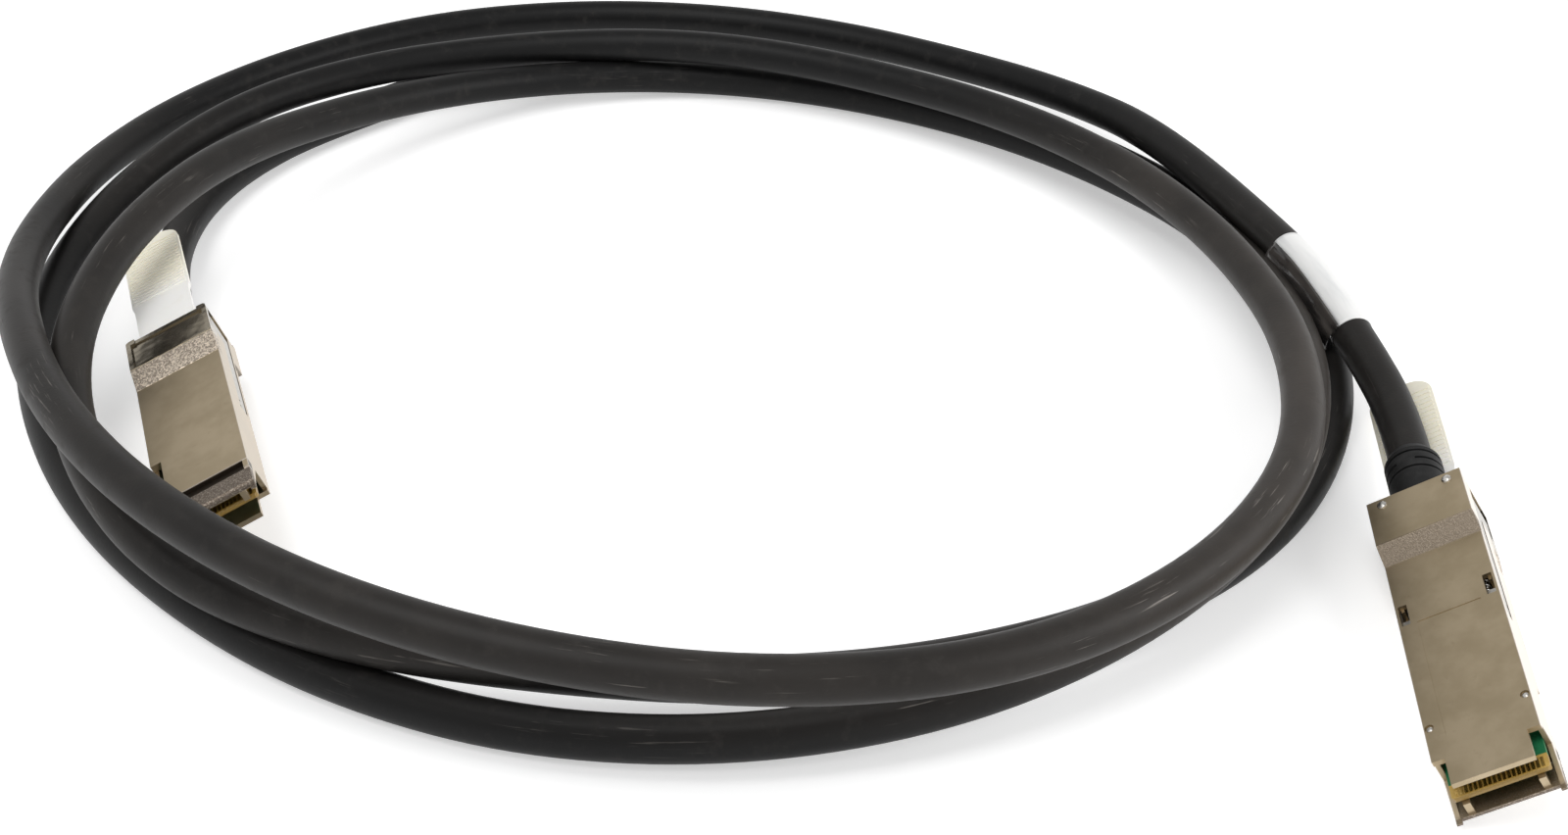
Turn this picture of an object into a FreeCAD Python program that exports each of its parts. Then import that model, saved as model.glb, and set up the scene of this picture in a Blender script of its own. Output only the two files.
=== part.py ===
import FreeCAD, Part
import math
import os
import re

import Sketcher
from FreeCAD import Placement, Rotation, Vector

# Direct attach copper cable: two plugs, each with a pull tab and a sprung release slide, joined by a
# loosely coiled cable. Millimetres, +Z up, the floor at z = 0.
#
# Each plug is drawn in its own frame: +x towards the nose with x = 0 at the card's front edge,
# +z towards the pull tab's side, z = 0 halfway up the part that goes in the cage. It is then seated
# in the object's frame at its end of the cable.

SIZES = [
    # the plug's body
    ("plug_width", 18.35),
    ("cage_height", 8.5),
    ("plug_length", 72.0),
    ("roof", 1.45),
    ("cover_plate", 1.0),
    ("nose_reach", 1.2),
    ("nose_foot", 1.0),
    ("lip_length", 4.0),
    ("lip_slot", 2.6),
    ("lip_depth", 1.0),
    ("lip_radius", 0.8),
    ("lip_step", 0.25),
    ("lip_end", 1.0),
    ("key_front", 10.0),
    ("key_length", 11.0),
    ("key_width", 2.2),
    ("key_depth", 1.6),
    ("wall_start", 6.4),
    ("rail_drop", 1.6),
    ("shell_length", 12.8),
    ("top_ramp_length", 7.0),
    ("top_rise", 1.5),
    ("base_step_length", 12.6),
    ("base_ramp_length", 3.2),
    ("base_drop", 2.8),
    ("rear_wall", 3.6),
    ("core_room", 10.8),
    ("trough_depth", 0.55),
    ("rim_length", 1.8),
    ("rim_drop", 0.25),
    ("rim_radius", 0.5),
    ("rim_post", 2.0),
    ("corner_radius", 1.0),
    # the cover's front and its windows
    ("cover_reach", 0.4),
    ("cover_tab", 13.8),
    ("notch_length", 5.6),
    ("window_front", 39.4),
    ("window_length", 5.2),
    ("window_inner", 14.0),
    ("window_outer", 17.3),
    ("label_seat_front", 10.0),
    ("label_seat_rear", 39.3),
    ("label_seat_width", 11.6),
    ("label_seat_depth", 0.1),
    # the card
    ("card_width", 16.4),
    ("card_thickness", 1.0),
    ("card_length", 30.0),
    ("card_gap", 0.1),
    ("card_bevel", 0.25),
    ("card_corner", 0.5),
    ("pad_pitch", 0.8),
    ("pad_width", 0.54),
    ("pad_length", 2.1),
    ("pad_setback", 0.5),
    ("pad_thickness", 0.05),
    ("boss_front", 11.9),
    ("boss_length", 2.8),
    ("boss_depth", 1.1),
    ("rest_front", 9.0),
    ("rest_inset", 5.2),
    ("rest_length", 1.2),
    ("post_width", 1.2),
    ("post_lap", 0.4),
    ("post_spacing", 12.6),
    # the release slide, its slots and its springs
    ("travel", 2.0),
    ("sheet", 0.5),
    ("slide_gap", 0.2),
    ("slide_inset", 8.8),
    ("slide_depth", 4.6),
    ("slide_tongue", 11.2),
    ("slide_lap", 2.8),
    ("slide_plate", 0.4),
    ("slot_height", 1.4),
    ("slot_base", 3.5),
    ("arm_front", 35.2),
    ("arm_height", 2.3),
    ("arm_clearance", 0.25),
    ("foot_front", 39.7),
    ("foot_length", 2.0),
    ("foot_height", 1.8),
    ("spring_spacing", 13.8),
    ("spring_length", 8.6),
    ("spring_radius", 0.65),
    ("spring_wire", 0.3),
    ("spring_turns", 6),
    ("spring_pocket", 1.8),
    # the pull tab
    ("tab_width", 12.6),
    ("tab_grip_width", 13.4),
    ("tab_thickness", 1.0),
    ("tab_reach", 47.0),
    ("tab_neck", 13.0),
    ("tab_end_radius", 5.0),
    ("tab_rib_width", 0.6),
    ("tab_rib_height", 0.18),
    ("tab_rib_pitch", 1.5),
    ("tab_rib_count", 18),
    # rivets
    ("rear_rivet_spacing", 12.6),
    ("rear_rivet_inset", 1.8),
    ("rear_rivet_head", 0.95),
    ("rear_rivet_shank", 0.55),
    ("rear_rivet_dome", 0.55),
    ("front_rivet_spacing", 16.4),
    ("front_rivet_setback", 13.3),
    ("front_rivet_head", 0.6),
    ("front_rivet_shank", 0.35),
    ("front_rivet_dome", 0.3),
    ("front_rivet_sink", 0.35),
    ("front_rivet_well", 0.8),
    ("rivet_grip", 2.0),
    # the cable and what holds it
    ("cable_diameter", 8.4),
    ("cable_drop", 1.95),
    ("boot_stem_radius", 4.0),
    ("boot_shoulder_radius", 5.1),
    ("boot_collar_radius", 5.45),
    ("boot_end_radius", 4.45),
    ("boot_length", 14.0),
    ("boot_inset", 6.0),
    ("ring_first", 5.4),
    ("ring_pitch", 2.4),
    ("ring_width", 0.6),
    ("ring_depth", 0.4),
    ("ring_sweep", 140),
    ("ferrule_radius", 3.4),
    ("ferrule_length", 6.0),
    ("saddle_length", 2.0),
    ("saddle_width", 8.0),
    ("core_length", 20.0),
    ("block_height", 5.8),
    ("pair_diameter", 1.3),
    ("pair_spacing", 2.7),
    ("pair_lap", 3.0),
    # where each plug lies: its card edge's centre, and how it is turned, tipped and rolled
    ("right_x", 133.4),
    ("right_y", -74.3),
    ("right_turn", -90.0),
    ("right_tip", 0.0),
    ("right_roll", -147.4),
    ("left_x", -89.3),
    ("left_y", -33.1),
    ("left_z", 17.9),
    ("left_turn", -65.4),
    ("left_tip", -5.1),
    ("left_roll", 20.2),
    # the coil
    ("coil_x", -26.2),
    ("coil_y", 74.6),
    ("relief_gap", 0.8),
    ("coil_corner", 4.0),
    # the wrap-round label
    ("label_thickness", 0.2),
    ("label_start", 44.0),
    ("label_length", 36.5),
    ("label_turn", 210),
    ("label_sweep", 200),
]
NAMES = {name for name, _ in SIZES}

# Heights and half widths that several pieces share, as expressions over the sheet.
HALF_WIDTH = "plug_width / 2"
TOP = "cage_height / 2"
SHELL_TOP = "(cage_height / 2 + top_rise)"
ROOF = "(cage_height / 2 - roof)"
SEAM = "(-cage_height / 2 + cover_plate)"
SHELL_SEAM = "(-cage_height / 2 + cover_plate - base_drop)"
SHELL_BASE = "(-cage_height / 2 - base_drop)"
BAY = "(card_width / 2 + card_gap)"
ARM_OUTER = "(plug_width / 2 - 0.1)"
ARM_INNER = "(plug_width / 2 - 0.1 - sheet)"
ARM_TOP = "(-cage_height / 2 + cover_plate + arm_clearance + arm_height)"
ARM_BASE = "(-cage_height / 2 + cover_plate + arm_clearance)"
PLATE_BASE = "(slot_base + slot_height / 2 - slide_plate / 2)"
CABLE_RADIUS = "cable_diameter / 2"
# Distances behind the card's front edge that are set out from the plug's rear.
TOP_RAMP_REAR = "(plug_length - shell_length)"
TOP_RAMP_FRONT = "(plug_length - shell_length - top_ramp_length)"
BASE_RAMP_REAR = "(plug_length - base_step_length)"
BASE_RAMP_FRONT = "(plug_length - base_step_length - base_ramp_length)"
SLIDE_FRONT = "(plug_length - slide_inset)"
SLIDE_REAR = "(plug_length - slide_inset + slide_depth)"
REAR_RIVET = "(plug_length - rear_rivet_inset)"
BLOCK_FRONT = "(plug_length - core_length)"
REST_REAR = "(card_length - rest_inset)"
LIP_SLOT_REAR = "(lip_length + lip_slot)"

# The turns of the coil, from the lying plug to the held one: the cable's distance from the coil's
# centre and its height, at every STEP degrees round from +X. Where strands cross, one lies on another.
STEP = 30
TURNS = [
    {
        "radius": [148, 135, 136, 145, 153, 150, 138, 131, 139, 153, 164, 155],
        "height": [13.1, 11.3, 6.1, 4.3, 4.8, 6.5, 13.7, 26.3, 32.2, 30.6, 25.2, 22.3],
    },
    {
        "radius": [128, 108, 101, 105, 114, 128, 134, 131, 134, 144, 153, 153],
        "height": [20.3, 18.3, 15.1, 13.5, 12.3, 11.8, 4.8, 4.3, 4.3, 4.3, 8.0, 13.2],
    },
    {
        "radius": [139, 120, 109, 107, 103, 99, 104, 124, 137, 134, 141, 153],
        "height": [12.0, 7.2, 4.9, 4.6, 9.3, 17.6, 25.5, 21.6, 14.0, 10.1, 5.8, 4.3],
    },
    {
        "radius": [149, 130, 118, 118, 122],
        "height": [4.3, 4.3, 4.4, 4.6, 4.3],
    },
]
# Turns that leave the pile at an angle, where they pass over the held plug's tab as a tube.
LEAVES_PILE = {150: [2], 180: [2]}
# How steeply the pile's top falls away from its highest strand, and how often it is outlined.
PILE_SLOPE = 0.5
SECTION_STEP = 10

# The cable's route where it isn't coiled, as points chosen along it.
RIGHT_LEAD = [
    (132.3, 27.7, 11.5),
    (128.6, 46.7, 12.4),
    (123.0, 66.7, 13.1),
    (116.8, 84.7, 12.7),
    (109.2, 101.7, 12.0),
]
CROSSING = [
    (-69.6, 168.7, 7.4),
    (-88.6, 154.2, 11.0),
    (-105.4, 134.7, 15.4),
    (-119.6, 110.7, 20.6),
    (-129.0, 83.7, 25.0),
    (-133.6, 55.7, 26.2),
    (-134.8, 29.7, 23.8),
    (-131.6, 4.7, 19.6),
]
LEFT_LEAD = [
    (-132.1, 61.8, 6.8),
    (-137.6, 81.7, 5.9),
    (-138.4, 102.7, 5.5),
    (-133.2, 123.7, 5.2),
    (-122.0, 144.2, 4.8),
]

doc = FreeCAD.newDocument("direct_attach_cable")
sheet = doc.addObject("Spreadsheet::Sheet", "dims")
for row, (alias, number) in enumerate(SIZES, start=1):
    sheet.set("A%d" % row, alias)
    sheet.set("B%d" % row, str(number))
    sheet.setAlias("B%d" % row, alias)
doc.recompute()

pieces = []


def bound(text):
    """An expression's text with each driving dimension written as the sheet's cell."""
    return re.sub(r"[a-z_]+", lambda m: "dims." + m.group() if m.group() in NAMES else m.group(), text)


def value(text):
    """The number that an expression over the sheet gives now."""
    return float(sheet.evalExpression(bound(text)))


def bind(obj, **sizes):
    """Bind an object's properties to expressions over the sheet."""
    for name, text in sizes.items():
        obj.setExpression(name.replace("__", "."), bound(text))


# ---------------------------------------------------------------- sketches and features

PLANES = {"XY": 3, "XZ": 4, "YZ": 5}


def plane_of(body, plane):
    return (body.Origin.OriginFeatures[PLANES[plane]], [""])


def place_vertex(sketch, line, across, up):
    """Dimension a line's start point from the sketch's origin."""
    for kind, text in (("DistanceX", across), ("DistanceY", up)):
        index = sketch.addConstraint(Sketcher.Constraint(kind, -1, 1, line, 1, value(text)))
        sketch.setExpression("Constraints[%d]" % index, bound(text))


def draw_loop(sketch, points):
    """A closed outline of straight lines through (across, up) points."""
    spots = [Vector(value(across), value(up), 0) for across, up in points]
    first = sketch.GeometryCount
    count = len(points)
    for i in range(count):
        sketch.addGeometry(Part.LineSegment(spots[i], spots[(i + 1) % count]), False)
    for i in range(count):
        sketch.addConstraint(Sketcher.Constraint("Coincident", first + i, 2, first + (i + 1) % count, 1))
    for i, (across, up) in enumerate(points):
        place_vertex(sketch, first + i, across, up)


def draw_circle(sketch, across, up, radius):
    """A dimensioned circle."""
    centre = Vector(value(across), value(up), 0)
    line = sketch.addGeometry(Part.Circle(centre, Vector(0, 0, 1), value(radius)), False)
    for kind, text in (("DistanceX", across), ("DistanceY", up)):
        index = sketch.addConstraint(Sketcher.Constraint(kind, -1, 1, line, 3, value(text)))
        sketch.setExpression("Constraints[%d]" % index, bound(text))
    index = sketch.addConstraint(Sketcher.Constraint("Radius", line, value(radius)))
    sketch.setExpression("Constraints[%d]" % index, bound(radius))


def sketch_on(body, name, plane, loops=(), circles=(), lift="0", shift="0"):
    """A sketch on one of the body's planes, lifted along its normal and shifted up in the plane."""
    sketch = body.newObject("Sketcher::SketchObject", name)
    sketch.AttachmentSupport = plane_of(body, plane)
    sketch.MapMode = "FlatFace"
    bind(sketch, AttachmentOffset__Base__z=lift, AttachmentOffset__Base__y=shift)
    for points in loops:
        draw_loop(sketch, points)
    for circle in circles:
        draw_circle(sketch, *circle)
    return sketch


def rect(left, right, low, high):
    return [(left, low), (right, low), (right, high), (left, high)]


def new_body(name):
    return doc.addObject("PartDesign::Body", name + "_body")


def feature(body, kind, name, profile, length=None, symmetric=False, backwards=False):
    """A Pad or Pocket of a sketch; with no length a Pocket goes right through."""
    made = body.newObject("PartDesign::" + kind, name)
    made.Profile = profile
    made.SideType = "Symmetric" if symmetric else "One side"
    made.Reversed = backwards
    if length is None:
        made.Type = "ThroughAll"
    else:
        bind(made, Length=length)
    profile.Visibility = False
    return made


def mirror(body, name, originals, plane="XZ"):
    """The same features on the other side of one of the body's planes."""
    made = body.newObject("PartDesign::Mirrored", name)
    made.Originals = originals
    made.MirrorPlane = plane_of(body, plane)
    body.Tip = made
    return made


def edges_where(shape, test):
    """Names of the shape's edges whose middle and direction pass a test."""
    found = []
    for i, edge in enumerate(shape.Edges, start=1):
        middle = edge.valueAt((edge.FirstParameter + edge.LastParameter) / 2)
        ends = edge.Vertexes
        along = ends[-1].Point - ends[0].Point if len(ends) > 1 else Vector()
        if test(middle, along):
            found.append("Edge%d" % i)
    return found


def soften(body, name, test, size, kind="Fillet"):
    """Round or bevel the body's edges that pass a test."""
    doc.recompute()
    base = body.Tip
    made = body.newObject("PartDesign::" + kind, name)
    made.Base = (base, edges_where(base.Shape, test))
    bind(made, **{"Radius" if kind == "Fillet" else "Size": size})
    return made


def along_y(direction):
    return abs(direction.x) < 1e-6 and abs(direction.z) < 1e-6 and abs(direction.y) > 1e-6


def along_z(direction):
    return abs(direction.x) < 1e-6 and abs(direction.y) < 1e-6 and abs(direction.z) > 1e-6


def close(first, second):
    return abs(first - second) < 1e-4


# ---------------------------------------------------------------- where each plug is seated

# The lying plug rests on one long edge of its shell, so its height follows from its roll.
LIE_HEIGHT = "(%s * abs(sin(right_roll * 1 deg)) + %s * abs(cos(right_roll * 1 deg)))" % (
    HALF_WIDTH,
    SHELL_TOP,
)
ENDS = {
    "right": ("right_x", "right_y", LIE_HEIGHT, "right_turn", "right_tip", "right_roll"),
    "left": ("left_x", "left_y", "left_z", "left_turn", "left_tip", "left_roll"),
}


# A point in a plug's own frame, unturned.
CORNER_AT = "placement(vector(%s; %s; %s); rotation(0; 0; 0))"


def pose_text(end):
    return "placement(vector(%s; %s; %s); rotation(%s; %s; %s))" % ENDS[end]


def pose(end):
    """The plug's placement in the object's frame."""
    x, y, z, turn, tip, roll = (value(text) for text in ENDS[end])
    return Placement(Vector(x, y, z), Rotation(turn, tip, roll))


def seat(obj, end, label):
    """Name a finished piece of a plug and put it at its end of the cable."""
    obj.Label = "%s_%s" % (end, label)
    obj.setExpression("Placement", bound(pose_text(end)))
    pieces.append(obj)


# ---------------------------------------------------------------- the plug's housing

def top_housing(end):
    """The cast top half: tongue and lip, side walls, raised shell and the slots that the slide runs in."""
    body = new_body(end + "_top_housing")
    side = [
        ("nose_reach", ROOF),
        ("nose_reach", TOP),
        ("-" + TOP_RAMP_FRONT, TOP),
        ("-" + TOP_RAMP_REAR, SHELL_TOP),
        ("-plug_length", SHELL_TOP),
        ("-plug_length", SHELL_SEAM),
        ("-" + BASE_RAMP_REAR, SHELL_SEAM),
        ("-" + BASE_RAMP_FRONT, SEAM),
        ("-wall_start", SEAM),
        ("-wall_start", ROOF + " - rail_drop"),
    ]
    outline = sketch_on(body, end + "_side_outline", "XZ", [side])
    feature(body, "Pad", end + "_shell", outline, "plug_width", symmetric=True)
    hollow_out(body, end)
    cut_nose(body, end)
    cut_slide_slots(body, end)
    finish_shell(body, end)
    add_fixings(body, end)
    seat(body, end, "top_housing")


def hollow_out(body, end):
    """The card's bay, open at the nose, and the narrower bay behind it for the cable's core."""
    back = "-plug_length + rear_wall"
    card_end = "-card_length - 1"
    bay = [
        ("nose_reach + 1", "-" + BAY),
        ("nose_reach + 1", BAY),
        (card_end, BAY),
        (card_end, "core_room / 2"),
        (back, "core_room / 2"),
        (back, "-core_room / 2"),
        (card_end, "-core_room / 2"),
        (card_end, "-" + BAY),
    ]
    feature(body, "Pocket", end + "_bay", sketch_on(body, end + "_bay_outline", "XY", [bay], lift=ROOF))
    hole = sketch_on(
        body,
        end + "_cable_hole_outline",
        "YZ",
        circles=[("0", "-cable_drop", "boot_stem_radius")],
        lift="-plug_length",
    )
    feature(body, "Pocket", end + "_cable_hole", hole, "rear_wall + 0.5", backwards=True)


def cut_nose(body, end):
    """The rounded lip and the slot behind it, the feet beside the tongue, and the keyed long edge."""
    lip_top = "(%s - lip_step)" % TOP
    step = rect("-lip_length", "nose_reach + 1", lip_top, TOP + " + 1")
    lowered = sketch_on(body, end + "_lip_step_outline", "XZ", [step])
    feature(body, "Pocket", end + "_lip_step", lowered, "plug_width + 1", symmetric=True)
    slot = rect("-" + LIP_SLOT_REAR, "-lip_length", TOP + " - lip_depth", TOP + " + 1")
    across = sketch_on(body, end + "_lip_slot_outline", "XZ", [slot])
    feature(body, "Pocket", end + "_lip_slot", across, "plug_width - 2 * lip_end", symmetric=True)
    nose, behind, top = value("nose_reach"), -value("lip_length"), value(lip_top)

    def front_edge(middle, direction):
        return along_y(direction) and close(middle.x, nose) and close(middle.z, top)

    def back_edge(middle, direction):
        return along_y(direction) and close(middle.x, behind) and close(middle.y, 0) and close(middle.z, top)

    soften(body, end + "_lip_round", front_edge, "lip_radius")
    soften(body, end + "_lip_back_round", back_edge, "lip_step + 0.15")
    toe = rect("nose_reach - 0.2", "nose_reach + nose_foot", HALF_WIDTH + " - nose_foot", HALF_WIDTH)
    feet = sketch_on(body, end + "_nose_foot_outline", "XY", [toe], lift=ROOF)
    foot = feature(body, "Pad", end + "_nose_foot", feet, "roof - lip_radius - lip_step")
    mirror(body, end + "_far_nose_foot", [foot])
    key = rect("-key_front - key_length", "-key_front", "-plug_width / 2 - 1", "-plug_width / 2 + key_width")
    keyed = sketch_on(body, end + "_key_outline", "XY", [key], lift=TOP)
    feature(body, "Pocket", end + "_key", keyed, "key_depth")


def cut_slide_slots(body, end):
    """The slots for the slide's plate, arms and feet, the pull tab's way out and the spring pockets."""
    rear = "-" + SLIDE_REAR + " - travel - 0.4"
    slot_top = "(slot_base + slot_height)"
    plate = rect(rear, "-" + SLIDE_FRONT + " + 0.3", "slot_base", slot_top)
    across = sketch_on(body, end + "_plate_slot_outline", "XZ", [plate])
    feature(body, "Pocket", end + "_plate_slot", across, "plug_width + 1", symmetric=True)
    opening = rect("-tab_width / 2 - 0.3", "tab_width / 2 + 0.3", "slot_base", slot_top)
    way_out = sketch_on(body, end + "_tab_slot_outline", "YZ", [opening], lift="-plug_length")
    feature(body, "Pocket", end + "_tab_slot", way_out, "plug_length - " + SLIDE_REAR, backwards=True)
    arm = [
        ("-arm_front + 0.3", SEAM + " - 0.01"),
        ("-arm_front + 0.3", ARM_TOP + " + 0.3"),
        ("-" + SLIDE_FRONT + " + 0.3", ARM_TOP + " + 0.3"),
        ("-" + SLIDE_FRONT + " + 0.3", slot_top),
        (rear, slot_top),
        (rear, SEAM + " - 0.01"),
    ]
    channel = sketch_on(body, end + "_arm_channel_outline", "XZ", [arm], lift="-" + HALF_WIDTH)
    arm_channel = feature(
        body, "Pocket", end + "_arm_channel", channel, "sheet + slide_gap + 0.1", backwards=True
    )
    inner = "(spring_spacing / 2 - spring_pocket / 2)"
    outer = "(spring_spacing / 2 + spring_pocket / 2)"
    pocket = [
        ("-foot_front + 0.3", inner),
        ("-foot_front - foot_length - spring_length - 0.2", inner),
        ("-foot_front - foot_length - spring_length - 0.2", outer),
        ("-foot_front - foot_length - travel - 0.3", outer),
        ("-foot_front - foot_length - travel - 0.3", HALF_WIDTH + " - 0.3"),
        ("-foot_front + 0.3", HALF_WIDTH + " - 0.3"),
    ]
    room = sketch_on(
        body, end + "_spring_pocket_outline", "XY", [pocket], lift=ARM_BASE + " + foot_height + 0.3"
    )
    spring_pocket = feature(body, "Pocket", end + "_spring_pocket", room)
    mirror(body, end + "_far_slots", [arm_channel, spring_pocket])


def finish_shell(body, end):
    """The sunk field on the raised shell, the bar behind it, and the rounded rear corners."""
    side = "(plug_width / 2 - corner_radius)"
    field = rect("-plug_length + rim_length", "-" + TOP_RAMP_REAR + " - 0.6", "-" + side, side)
    trough = sketch_on(body, end + "_trough_outline", "XY", [field], lift=SHELL_TOP)
    feature(body, "Pocket", end + "_trough", trough, "trough_depth")
    reach = "(plug_width / 2 - rim_post)"
    low = rect("-plug_length - 1", "-plug_length + rim_length + 0.1", "-" + reach, reach)
    bar = sketch_on(body, end + "_rim_outline", "XY", [low], lift=SHELL_TOP)
    feature(body, "Pocket", end + "_rim_bar", bar, "rim_drop")
    rear, half = -value("plug_length"), value(HALF_WIDTH)
    bar_top = value(SHELL_TOP + " - rim_drop")

    def rear_corner(middle, direction):
        return along_z(direction) and close(middle.x, rear) and close(abs(middle.y), half)

    def bar_edge(middle, direction):
        on_bar = close(middle.x, rear) and close(middle.z, bar_top) and close(middle.y, 0)
        return along_y(direction) and on_bar

    soften(body, end + "_rear_corners", rear_corner, "corner_radius")
    soften(body, end + "_rim_round", bar_edge, "rim_radius")


def add_fixings(body, end):
    """Bosses for the front rivets, the posts that carry the card, the ferrule's saddle, rivet holes."""
    boss = ("-boss_front - boss_length", "-boss_front")
    inner, outer = "(card_width / 2 - boss_depth + 0.1)", "(plug_width / 2 - 0.3)"
    post = ("-post_lap", "post_width - post_lap")
    post_inner, post_outer = "(post_spacing / 2 - post_width / 2)", "(post_spacing / 2 + post_width / 2)"
    bosses = sketch_on(body, end + "_boss_outline", "XY", [rect(*boss, inner, outer)], lift=SEAM)
    boss_pad = feature(body, "Pad", end + "_boss", bosses, ROOF + " + 0.2 - " + SEAM)
    posts = sketch_on(
        body, end + "_post_outline", "XY", [rect(*post, post_inner, post_outer)], lift="card_thickness / 2"
    )
    post_pad = feature(body, "Pad", end + "_post", posts, ROOF + " + 0.2 - card_thickness / 2")
    mirror(body, end + "_far_fixings", [boss_pad, post_pad])
    span = rect("-core_room / 2 - 0.2", "core_room / 2 + 0.2", "-cable_drop", ROOF + " + 0.2")
    saddle_front = "-plug_length + boot_inset + ferrule_length / 2 + saddle_length / 2"
    saddle = sketch_on(body, end + "_saddle_outline", "YZ", [span], lift=saddle_front)
    feature(body, "Pad", end + "_saddle", saddle, "saddle_length", backwards=True)
    seat_hole = sketch_on(
        body,
        end + "_saddle_hole_outline",
        "YZ",
        circles=[("0", "-cable_drop", "ferrule_radius")],
        lift=saddle_front + " + 0.5",
    )
    feature(body, "Pocket", end + "_saddle_hole", seat_hole, "saddle_length + 1")
    holes = [
        ("-front_rivet_setback", "front_rivet_spacing / 2", "front_rivet_shank"),
        ("-front_rivet_setback", "-front_rivet_spacing / 2", "front_rivet_shank"),
    ]
    front = sketch_on(body, end + "_front_rivet_holes", "XY", circles=holes, lift=SEAM)
    feature(body, "Pocket", end + "_front_holes", front, "rivet_grip", backwards=True)
    holes = [
        ("-" + REAR_RIVET, "rear_rivet_spacing / 2", "rear_rivet_shank"),
        ("-" + REAR_RIVET, "-rear_rivet_spacing / 2", "rear_rivet_shank"),
    ]
    rear = sketch_on(body, end + "_rear_rivet_holes", "XY", circles=holes, lift=SHELL_SEAM)
    feature(body, "Pocket", end + "_rear_holes", rear, "rivet_grip", backwards=True)


def bottom_cover(end):
    """The cast cover: a plate that steps down to the shell's floor, with windows and corner notches."""
    body = new_body(end + "_bottom_cover")
    side = [
        ("cover_reach", "-cage_height / 2"),
        ("cover_reach", SEAM),
        ("-" + BASE_RAMP_FRONT, SEAM),
        ("-" + BASE_RAMP_REAR, SHELL_SEAM),
        ("-plug_length", SHELL_SEAM),
        ("-plug_length", SHELL_BASE),
        ("-" + BASE_RAMP_REAR, SHELL_BASE),
        ("-" + BASE_RAMP_FRONT, "-cage_height / 2"),
    ]
    outline = sketch_on(body, end + "_cover_side_outline", "XZ", [side])
    feature(body, "Pad", end + "_cover_plate", outline, "plug_width", symmetric=True)
    notch = rect("-notch_length", "cover_reach + 1", "cover_tab / 2", "plug_width / 2 + 1")
    window = rect("-window_front - window_length", "-window_front", "window_inner / 2", "window_outer / 2")
    cuts = sketch_on(body, end + "_cover_cuts_outline", "XY", [notch, window], lift=SEAM + " + 0.5")
    cut = feature(body, "Pocket", end + "_cover_cuts", cuts)
    mirror(body, end + "_far_cover_cuts", [cut])
    field = rect("-label_seat_rear", "-label_seat_front", "-label_seat_width / 2", "label_seat_width / 2")
    recess = sketch_on(body, end + "_label_seat_outline", "XY", [field], lift="-cage_height / 2")
    feature(body, "Pocket", end + "_label_seat", recess, "label_seat_depth", backwards=True)
    add_card_rests(body, end)
    holes = [
        ("-front_rivet_setback", "front_rivet_spacing / 2", "front_rivet_shank"),
        ("-front_rivet_setback", "-front_rivet_spacing / 2", "front_rivet_shank"),
        ("-" + REAR_RIVET, "rear_rivet_spacing / 2", "rear_rivet_shank"),
        ("-" + REAR_RIVET, "-rear_rivet_spacing / 2", "rear_rivet_shank"),
    ]
    drilled = sketch_on(body, end + "_cover_holes_outline", "XY", circles=holes, lift=SEAM + " + 0.5")
    feature(body, "Pocket", end + "_cover_holes", drilled)
    wells = [(across, up, "front_rivet_well") for across, up, _ in holes[:2]]
    sunk = sketch_on(body, end + "_rivet_well_outline", "XY", circles=wells, lift="-cage_height / 2")
    feature(body, "Pocket", end + "_rivet_wells", sunk, "front_rivet_sink", backwards=True)
    seat(body, end, "bottom_cover")


def add_card_rests(body, end):
    """Ribs inside the cover that carry the card, and the lower saddle of the cable's ferrule."""
    half = "(card_width / 2 - boss_depth - 0.6)"
    front = rect("-rest_front - rest_length", "-rest_front", "-" + half, half)
    rear = rect("-" + REST_REAR + " - rest_length", "-" + REST_REAR, "-" + half, half)
    rests = sketch_on(body, end + "_rest_outline", "XY", [front, rear], lift=SEAM)
    feature(body, "Pad", end + "_rests", rests, "-card_thickness / 2 - " + SEAM)
    saddle_front = "-plug_length + boot_inset + ferrule_length / 2 + saddle_length / 2"
    block = rect(saddle_front + " - saddle_length", saddle_front, "-saddle_width / 2", "saddle_width / 2")
    saddle = sketch_on(body, end + "_lower_saddle_outline", "XY", [block], lift=SHELL_SEAM)
    feature(body, "Pad", end + "_lower_saddle", saddle, "-cable_drop - " + SHELL_SEAM)
    seat_hole = sketch_on(
        body,
        end + "_lower_saddle_hole",
        "YZ",
        circles=[("0", "-cable_drop", "ferrule_radius")],
        lift=saddle_front + " + 0.5",
    )
    feature(body, "Pocket", end + "_lower_saddle_cut", seat_hole, "saddle_length + 1")


# ---------------------------------------------------------------- the card and the cable's core

def paddle_card(end):
    """The edge card, notched at its sides for the front bosses and bevelled where it enters."""
    body = new_body(end + "_paddle_card")
    half, notch = "card_width / 2", "(card_width / 2 - boss_depth)"
    notch_front, notch_rear = "-boss_front + 0.1", "-boss_front - boss_length - 0.1"
    outline = [("0", "-" + half), ("0", half)]
    for sign, stops in (("", (notch_front, notch_rear)), ("-", (notch_rear, notch_front))):
        corner = [
            (stops[0], sign + half),
            (stops[0], sign + notch),
            (stops[1], sign + notch),
            (stops[1], sign + half),
        ]
        outline += corner + ([("-card_length", half), ("-card_length", "-" + half)] if not sign else [])
    plan = sketch_on(body, end + "_card_outline", "XY", [outline])
    feature(body, "Pad", end + "_card", plan, "card_thickness", symmetric=True)
    wide = value(half)
    soften(
        body,
        end + "_card_corners",
        lambda p, d: along_z(d) and close(p.x, 0) and close(abs(p.y), wide),
        "card_corner",
        "Chamfer",
    )
    soften(body, end + "_card_bevel", lambda p, d: along_y(d) and close(p.x, 0), "card_bevel", "Chamfer")
    seat(body, end, "paddle_card")


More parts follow.
